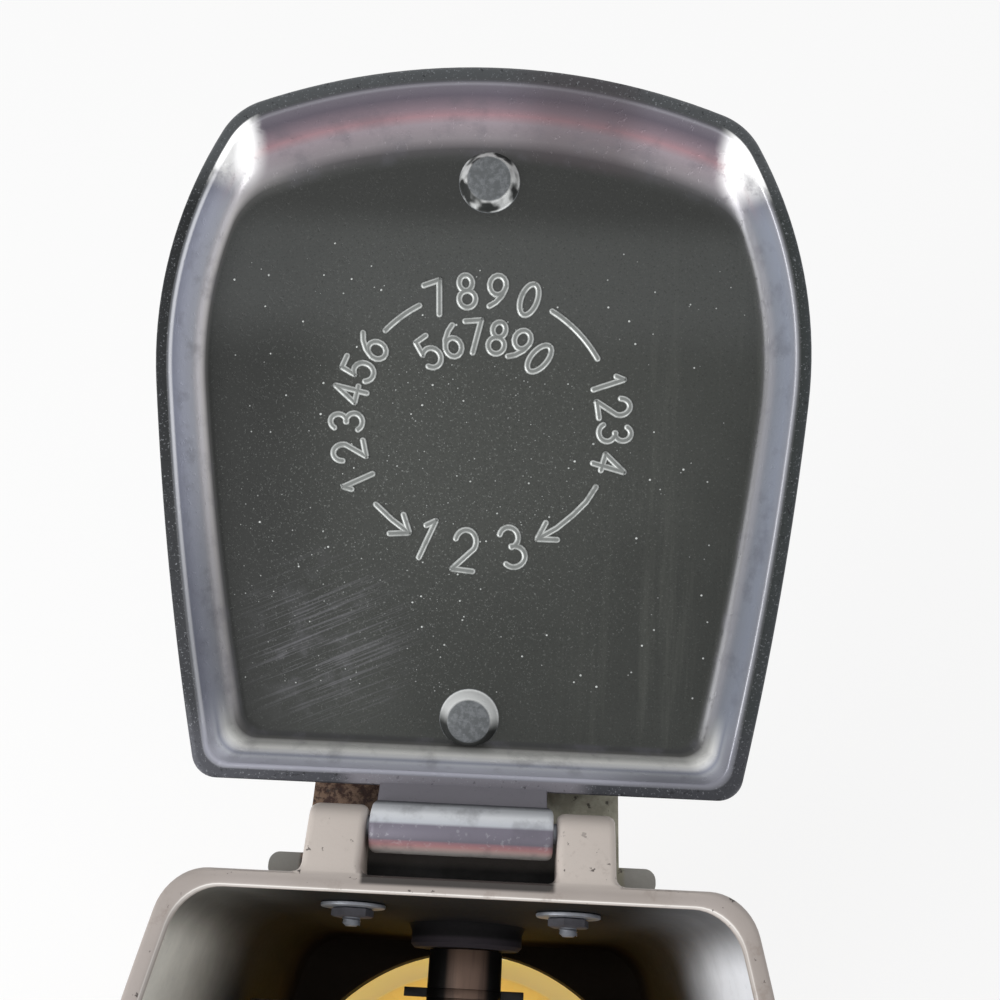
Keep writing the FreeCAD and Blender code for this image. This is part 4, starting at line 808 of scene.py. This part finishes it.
def lay_plating(place):
    """Aged plating with painted reflections and highlights, by the band of the lid and the place on
    it.
    """
    band = place.node("ShaderNodeAttribute", {"attribute_name": "mark"}, {}, "Fac")
    hinge = vector("SUBTRACT", place, HINGE)
    flat = mapped(hinge, Rotation=(-TILT, 0, 0))
    across, along = part_of(flat, "X"), part_of(flat, "Y")
    cloud = noise(flat, 34.0, 2.0)
    grain = noise(flat, 0.45, 2.0, 0.8)
    pits = step(noise(flat, 1.4, 3.0, 0.7), 0.6, 0.66)
    smudge = step(noise(flat, 6.0, 4.0, 0.6), 0.48, 0.7)

    # The floor: dull grey plating, lighter in the middle and darker to the left and front, its
    # tones partly a painted reflection, with specks, streaks and a rubbed patch.
    worn = step(away(flat, (-8.0, 64.0, -13.0)), 62.0, 14.0)
    floor = blend(step(cloud, 0.35, 0.65), hue("2b2d2a"), hue("323431"))
    middle = step(away(flat, (2.0, 84.0, -13.0)), 56.0, 16.0)
    floor = blend(middle * 0.8, floor, hue("3c3e3b"))
    floor = blend(step(across, -22.0, -48.0) * 0.85, floor, hue("131513"))
    streaks = noise(mapped(flat, Scale=(1.0, 0.05, 1.0)), 3.0, 3.0, 0.7)
    streaks = step(streaks, 0.5, 0.75) * step(across, 12.0, 40.0)
    floor = blend(streaks * 0.35, floor, hue("4d4f4a"))
    floor = blend(step(along, 90.0, 106.0) * 0.6, floor, hue("454746"))
    floor = blend(step(along, 116.0, 125.0) * 0.7, floor, hue("1c1d1b"))
    floor = blend(step(grain, 0.58, 0.74) * (0.12 + worn * 0.45), floor, hue("858885"))
    floor = blend(step(grain, 0.42, 0.3) * 0.5, floor, hue("181a18"))
    lines = mapped(mapped(flat, Rotation=(0, 0, -0.42)), Scale=(0.05, 2.6, 1.0))
    rubbed = away(flat, (-30.0, 33.0, -13.0))
    lines = step(noise(lines, 1.0, 2.0), 0.52, 0.62) * step(rubbed, 24.0, 4.0)
    floor = blend(lines * 0.25 + step(rubbed, 24.0, 6.0) * smudge * 0.14, floor, hue("7d7c82"))

    # The studs: mottled flat tops, and chamfers with painted highlights in bright patches.
    stud_highlight = step(noise(flat, 4.5, 2.0), 0.42, 0.6) * step(along, 50.0, 60.0)
    stud_highlight = stud_highlight + step(along + across * 0.12, 16.8, 20.6) * step(along, 60.0, 50.0)
    speckled = step(noise(flat, 1.1, 4.0, 0.7), 0.4, 0.66)
    floor = blend(step(band, -0.15, -0.4), floor, blend(speckled, hue("535658"), hue("6b6e71")))
    floor = blend(step(band, -0.55, -0.9), floor, blend(stud_highlight, hue("303231"), hue("e2e4e3")))

    # The cove and the rim: painted reflections, bands of light and dark that differ between the
    # four sides.
    front = step(along, 120.0, 133.0)
    back = step(along, 24.0, 13.0)
    share = band / 4.5
    left = ramp(share, (0.4, "4b4b4a"), (0.75, "b9b6b7"), (1.1, "d8d6dc"), (1.35, "d4d7e3"),
                (1.7, "cdd1e2"), (1.98, "b3b7cc"), (2.25, "cfd1d8"), (2.45, "5c5e63"),
                (2.7, "17191a"), (3.3, "1c1e20"), (3.9, "56585b"))
    right = ramp(share, (0.45, "2e2f2f"), (0.85, "86868a"), (1.1, "9fa0a8"), (1.4, "979ca8"),
                 (1.8, "9ba1b0"), (2.2, "a9aab2"), (2.5, "46484a"), (2.8, "2c302f"),
                 (3.3, "34383a"), (3.9, "77787c"))
    ahead = ramp(share, (0.3, "333433"), (0.62, "464446"), (0.95, "807a7e"), (1.35, "958a91"),
                 (1.55, "9d7c83"), (1.68, "7f6e77"), (1.85, "5b545f"), (2.2, "85838b"),
                 (2.32, "4d4c52"), (2.5, "3e4042"), (3.2, "4a4d4f"), (3.9, "77787c"))
    behind = ramp(share, (0.6, "2a2b2b"), (0.85, "41413f"), (1.15, "b9b9b6"), (1.4, "f8f8f5"),
                  (1.6, "e6e7ea"), (1.7, "a9adbd"), (1.78, "cfd2da"), (1.85, "c2c4d0"),
                  (2.2, "a3a4b0"), (2.45, "83848d"), (2.75, "3f4045"), (3.3, "3a3b40"),
                  (3.9, "6b6c71"))
    cove = blend(step(across, -10.0, 10.0), left, right)
    ahead = blend(step(across, 0.0, 14.0) * step(across, 34.0, 24.0) * 0.45, ahead, hue("3b3236"))
    cove = blend(front, cove, ahead)
    centre = step(across.math("ABSOLUTE"), 27.0, 21.0) * step(band, 2.4, 2.7)
    cove = blend(back, cove, blend(centre, behind, hue("76747b")))
    low = step(along, 84.0, 30.0) * step(along, 12.0, 24.0)
    cove = blend(low * (step(across, 20.0, -20.0) * 0.3 + 0.22), cove, hue("303135"))
    far = step(across, 22.0, 40.0) * back * step(band, 1.5, 1.9)
    cove = blend(far * 0.45, cove, hue("2c2d31"))
    # A painted highlight: the cove's front corners painted white, and lit further by emission.
    corner = vector("ABSOLUTE", mapped(flat, Scale=(1.0, 0.85, 0.0)))
    corner = away(corner, (53.0, 114.3, 0.0)) + smudge * 1.5
    glare = step(corner, 9.0, 4.0) * step(band, 0.3, 0.8) * step(band, 2.9, 2.5)
    cove = blend(glare, cove, hue("ffffff"))
    cove = blend(smudge * 0.3 * step(band, 2.0, 1.8), cove, hue("55545c"))
    cove = blend(pits * 0.6 * step(band, 2.4, 2.7), cove, hue("16171a"))
    cove = blend(step(grain, 0.6, 0.7) * 0.4 * step(band, 2.2, 2.6), cove, hue("9b9ea3"))
    colour = blend(step(band, 0.05, 0.45), floor, cove)
    colour = blend(step(band, 3.7, 4.1), colour, hue("b9b9c1"))

    # The barrel, with painted reflections in bands along its length, the neck and the duller
    # patches of the outside.
    rise = part_of(hinge, "Y") * 0.989 + part_of(hinge, "Z") * 0.15
    barrel_reflection_and_wear = ramp(rise * 0.1 + 0.5, (-4.4, "b3b0ae"), (-3.7, "bfa5a2"), (-3.2, "b88a8c"),
                (-2.5, "8b6a72"), (-2.2, "66626d"), (0.5, "726e7a"), (1.0, "b9bdc4"),
                (2.6, "dfe2e6"), (4.0, "d2d5da"), (4.7, "57595d"), unit=10.0, start=0.5)
    barrel_reflection_and_wear = blend(smudge * 0.35, barrel_reflection_and_wear, hue("57545c"))
    barrel_reflection_and_wear = blend(pits * 0.12, barrel_reflection_and_wear, hue("d8dadd"))
    colour = blend(step(band, 4.6, 4.9), colour, hue("6c6a71"))
    colour = blend(step(band, 5.4, 5.8), colour, barrel_reflection_and_wear)
    outer = step(band, 3.7, 4.2) * step(band, 4.8, 4.6)
    dulled = step(smudge + pits, 0.6, 1.4) * outer * 0.3
    colour = blend(dulled, colour, hue("6d6c73"))
    top = step(band, 2.6, 2.9) * step(band, 3.7, 3.5)
    return {"Base Color": colour, "Metallic": 0.35 + outer * 0.65 + top * 0.3,
            # The painted highlight in the front corners glows by emission.
            "Emission Color": blend(glare, hue("000000"), hue("ffffff")),
            "Emission Strength": 0.28,
            "Roughness": 0.38 - step(band, 0.1, 0.6) * 0.12 + step(band, 2.6, 3.0) * 0.15
            - outer * 0.27 + dulled * 0.6 + noise(flat, 3.0, 4.0) * 0.1,
            "Normal": bump(grain * 0.12 + noise(flat, 5.0) * 0.15 - pits * 0.2, 0.35, 0.4)}


plating = finish("aged_plating_painted_reflections", lay_plating)
piece("lid_plate", shells, plating, "lid", ["lid"])

# The dial on the lid's floor: plain numbers and arrows cast as round ridges in the same metal,
# and the blisters of the plating round them. Both are laid on the floor by node trees.


def lay_ridges(place):
    """Metal of the ridges, by height above the floor: painted shade at the foot, painted highlights
    on the flanks, dull top.
    """
    above = vector("DOT_PRODUCT", vector("SUBTRACT", place, HINGE), FACING, output=1)
    above = above + (SEAT - FLOOR)
    cloud = noise(place, 2.0, 3.0)
    colour = blend(step(above, 0.36, 0.46), hue("c3c6c4"), hue("777a78"))
    colour = blend(step(above, 0.12, 0.02), colour, hue("343634"))
    colour = blend(step(cloud, 0.48, 0.7) * 0.55, colour, hue("6c6f6d"))
    return {"Base Color": colour, "Metallic": 0.4, "Roughness": 0.28 + cloud * 0.2,
            "Normal": bump(noise(place, 0.5), 0.2, 0.1)}


ridge_metal = finish("ridge_metal", lay_ridges)
dial, (strokes, half_width, flatness) = open_tree("dial", [
    ("Half Width", "Float"), ("Flatness", "Float")])
path = strokes.node("GeometryNodeMeshToCurve", {}, {0: strokes})
round_bar = strokes.node("GeometryNodeCurvePrimitiveCircle", {}, {"Resolution": 16,
                                                                  "Radius": half_width})
bar = path.node("GeometryNodeCurveToMesh", {}, {0: path, 1: round_bar, "Fill Caps": True})
ball = strokes.node("GeometryNodeMeshUVSphere", {}, {"Segments": 16, "Rings": 8,
                                                     "Radius": half_width})
ends = path.node("GeometryNodeCurveEndpointSelection", {}, {"Start Size": 1, "End Size": 1})
tips = path.node("GeometryNodeInstanceOnPoints", {}, {"Points": path, "Selection": ends,
                                                      "Instance": ball})
squash = strokes.node("ShaderNodeCombineXYZ", {}, {"X": 1.0, "Y": 1.0, "Z": flatness})
close_tree(path.node("GeometryNodeTransform", {}, {"Geometry": join(bar, tips),
                                                   "Scale": squash}), ridge_metal)

blisters, (patch, density, seed, swell) = open_tree("blisters", [
    ("Density", "Float"), ("Seed", "Int"), ("Radius", "Float")])
spots = patch.node("GeometryNodeDistributePointsOnFaces", {}, {"Mesh": patch, "Density": density,
                                                               "Seed": seed})
drop = patch.node("GeometryNodeMeshUVSphere", {}, {"Segments": 10, "Rings": 6, "Radius": swell})
growth = patch.node("FunctionNodeRandomValue", {"data_type": "FLOAT"},
                    {"Min": 0.3, "Max": 1.0, "Seed": seed}, 1)
growth = growth * growth * growth
shape = patch.node("ShaderNodeCombineXYZ", {}, {"X": growth, "Y": growth, "Z": growth * 0.4})
close_tree(patch.node("GeometryNodeInstanceOnPoints", {}, {
    "Points": spots, "Instance": drop, "Scale": shape}), ridge_metal)


def arc(centre, radii, start, stop, steps=14):
    """Points along an arc of an ellipse, by angles in degrees."""
    angles = [math.radians(start + (stop - start) * step / steps) for step in range(steps + 1)]
    return [(centre[0] + radii[0] * math.cos(angle), centre[1] + radii[1] * math.sin(angle))
            for angle in angles]


six = [[(0.52, 0.97), (0.3, 0.83), (0.1, 0.6), (0.0, 0.33)], arc((0.3, 0.3), (0.3, 0.3), 180, 540)]
figures = {
    0: [arc((0.3, 0.5), (0.3, 0.5), 90, 450, 24)],
    1: [[(0.1, 0.8), (0.3, 1.0), (0.3, 0.0)]],
    2: [arc((0.3, 0.7), (0.3, 0.3), 170, -30) + [(0.0, 0.0), (0.6, 0.0)]],
    3: [arc((0.28, 0.75), (0.27, 0.25), 150, -90), arc((0.28, 0.26), (0.32, 0.26), 90, -150)],
    4: [[(0.45, 0.0), (0.45, 1.0), (0.0, 0.3), (0.62, 0.3)]],
    5: [[(0.55, 1.0), (0.1, 1.0), (0.05, 0.55)] + arc((0.27, 0.32), (0.33, 0.32), 125, -150)],
    6: six,
    7: [[(0.0, 1.0), (0.6, 1.0), (0.2, 0.0)]],
    8: [arc((0.3, 0.76), (0.24, 0.24), -90, 270, 20), arc((0.3, 0.26), (0.3, 0.26), 90, 450, 20)],
    9: [[(0.6 - x, 1.0 - y) for x, y in stroke] for stroke in six]}


def figure(number, radius, angle, height, turn=-90.0):
    """Strokes of a figure on the dial, with its top away from the middle or towards it."""
    angle = math.radians(angle)
    lean = angle + math.radians(turn)
    middle = Vector((math.cos(angle), math.sin(angle))) * radius
    across = Vector((math.cos(lean), math.sin(lean))) * height
    up = Vector((-across.y, across.x))
    return [[middle + across * (x - 0.3) * 0.85 + up * (y - 0.5) for x, y in stroke]
            for stroke in figures[number]]


drawn = []
for radius, height, turn, places in (
        (27.7, 6.6, -90.0, zip((1, 2, 3, 4, 5, 6), (206, 193, 180, 168, 157, 146))),
        (27.7, 6.6, -90.0, zip((7, 8, 9, 0), (111, 98, 85, 71))),
        (27.7, 6.6, -90.0, zip((1, 2, 3, 4), (20, 10, -1, -14))),
        (18.4, 6.5, -90.0, zip((5, 6, 7, 8, 9, 0), (127, 111, 96, 81, 66, 51))),
        (25.8, 8.4, 90.0, zip((1, 2, 3), (-113, -95, -73)))):
    for number, angle in places:
        drawn += figure(number, radius, angle, height, turn)
drawn += [arc((0, 0), (27.7, 27.7), 137, 119), arc((0, 0), (27.7, 27.7), 60, 32)]
drawn += [[(-21, -17), (-17.6, -20), (-13.9, -22.6)],
          [(-18, -22.9), (-13.9, -22.6), (-15.2, -18.9)],
          [(24.3, -11.6), (22.4, -14.8), (19.9, -17.5), (16.6, -20.4), (12.7, -22.8)],
          [(16.8, -22.8), (12.7, -22.8), (14.3, -19.4)]]
middle_of_dial, sharp_turn = 79.5, math.radians(40)
points, edges = [], []
for stroke in drawn:
    path = [Vector((x, y + middle_of_dial, 0.0)) for x, y in stroke]
    points.append(path[0])
    for before, here, after in zip(path, path[1:], path[2:] + [None]):
        points.append(here)
        edges.append((len(points) - 2, len(points) - 1))
        if after and (here - before).angle(after - here) > sharp_turn:
            points.append(here)
lying = Matrix.Translation(on_lid(0.0, 0.0, FLOOR) * MM) @ Matrix.Rotation(TILT, 4, "X")
numbers = grow(dial, bare_mesh("strokes", points, edges),
               {"Half Width": 0.68 * MM, "Flatness": 0.7})
numbers.transform(lying)
place_mesh("lid_dial", numbers, ridge_metal, "lid")
areas = [((-50, 24), (-4, 24), (-4, 66), (-50, 66), 2.4e5, 0.2),
         ((-20, 58), (20, 58), (20, 92), (-20, 92), 6.0e5, 0.2),
         ((-48, 24), (48, 24), (54, 116), (-54, 116), 6.0e4, 0.3)]
for index, (*corners, thick, radius) in enumerate(areas):
    patch = bare_mesh("patch", [(x, y, 0.0) for x, y in corners], (), [(0, 1, 2, 3)])
    dots = grow(blisters, patch, {"Density": thick, "Seed": index + 3, "Radius": radius * MM})
    dots.transform(lying)
    place_mesh(f"lid_blisters_{index + 1}", dots, ridge_metal, "lid")

# Cup: moulded in yellow plastic, with a flange that runs on the rails of the casting.


def lay_cup(place):
    """Yellow plastic with a painted glow by emission inside its hollow and on its flange."""
    cloud = noise(place, 20.0)
    colour = blend(cloud, hue("dfc27a"), hue("e9cf8a"))
    axis = vector("MULTIPLY", vector("SUBTRACT", place, (0.0, THROAT.y, 0.0)), (1, 1, 0))
    reach = vector("LENGTH", axis, output=1)
    height = part_of(place, "Z")
    wall = 50.3 + (height + 82.7) * 0.097
    flange = step(height, -83.5, -82.9)
    within = step(reach - wall, 0.6, -0.2).math("MAXIMUM", flange)
    # Painted glow: emission inside the hollow and on the flange, for light through the thin wall.
    glow = blend(within, hue("000000"), blend(flange, hue("cdb068"), hue("f6d98c")))
    return {"Base Color": colour, "Roughness": 0.28 + noise(place, 3.0, 4.0) * 0.15,
            "Subsurface Weight": 0.6, "Subsurface Radius": (0.012, 0.009, 0.003),
            "Subsurface Scale": 1.0, "Emission Color": glow, "Emission Strength": 0.4,
            "Normal": bump(noise(place, 0.8), 0.1, 0.1)}


yellow = finish("yellow_plastic", lay_cup)
dress("cup", ["ice_cup"], yellow, "cup", 0.6, 3)

# The stage: a white floor under the cup, a white surround, three soft lamps and the camera, which
# looks down steeply from in front of the crusher.


def seen_directly(start):
    """1 for rays from the camera, off a glossy surface or through a clear one, else 0."""
    rays = [start.node("ShaderNodeLightPath", {}, {}, name) for name in
            ("Is Camera Ray", "Is Glossy Ray", "Is Transmission Ray")]
    return (rays[0] + rays[1] + rays[2]).math("MINIMUM", 1.0)


def white_light(start, kind, strength):
    """White emission or background of a strength."""
    return start.node(kind, {}, {"Color": (1.0, 1.0, 1.0, 1.0), "Strength": strength})


bpy.ops.mesh.primitive_plane_add(size=6.0, location=(0, 0, cad_box[0][2] - 0.0006))
ground = bpy.context.object
ground.name = "stage_floor"
white = bpy.data.materials.new("stage_white")
start = fresh_tree(white)
paper = start.node("ShaderNodeBsdfDiffuse", {}, {"Color": (0.9, 0.9, 0.9, 1.0)})
glow = white_light(start, "ShaderNodeEmission", 1.0)
mixed = start.node("ShaderNodeMixShader", {}, {0: seen_directly(start) * 0.82, 1: paper, 2: glow})
start.node("ShaderNodeOutputMaterial", {}, {"Surface": mixed})
ground.data.materials.append(white)

world = bpy.data.worlds.new("surround")
bpy.context.scene.world = world
start = fresh_tree(world)
soft = white_light(start, "ShaderNodeBackground", 0.62)
full = white_light(start, "ShaderNodeBackground", 1.0)
mixed = start.node("ShaderNodeMixShader", {}, {0: seen_directly(start), 1: soft, 2: full})
start.node("ShaderNodeOutputWorld", {}, {"Surface": mixed})

for name, spot, aim, width, power in (
        ("lamp_key", (-0.95, -0.7, 0.75), (0, -0.05, 0.0), 0.9, 11.0),
        ("lamp_left", (-0.9, -1.05, 0.2), (0, 0.05, 0.06), 0.35, 2.5),
        ("lamp_right", (0.9, -1.05, 0.2), (0, 0.05, 0.06), 0.35, 2.5)):
    lamp = bpy.data.lights.new(name, "AREA")
    lamp.shape = "DISK"
    lamp.size = width
    lamp.energy = power
    holder = linked(name, lamp)
    holder.location = spot
    holder.rotation_euler = (Vector(spot) - Vector(aim)).to_track_quat("Z", "Y").to_euler()

tilt, yaw, roll = math.radians(62.38), math.radians(-1.315), math.radians(2.283)
ahead = Vector((0, math.cos(tilt), -math.sin(tilt)))
right = Vector((1, 0, 0))
ahead, right = (ahead * math.cos(yaw) + right * math.sin(yaw),
                right * math.cos(yaw) - ahead * math.sin(yaw))
down = Vector((0, -math.sin(tilt), -math.cos(tilt)))
right, down = (right * math.cos(roll) - down * math.sin(roll),
               down * math.cos(roll) + right * math.sin(roll))
lens = bpy.data.cameras.new("camera")
lens.lens = 34.668
lens.sensor_width = 36.0
lens.clip_start = 0.01
camera = linked("camera", lens)
turn = Matrix((right, -down, -ahead)).transposed()
camera.matrix_world = Matrix.Translation((0.00922, -0.05436, 0.22963)) @ turn.to_4x4()
bpy.context.scene.camera = camera
bpy.context.scene.view_settings.view_transform = "Standard"
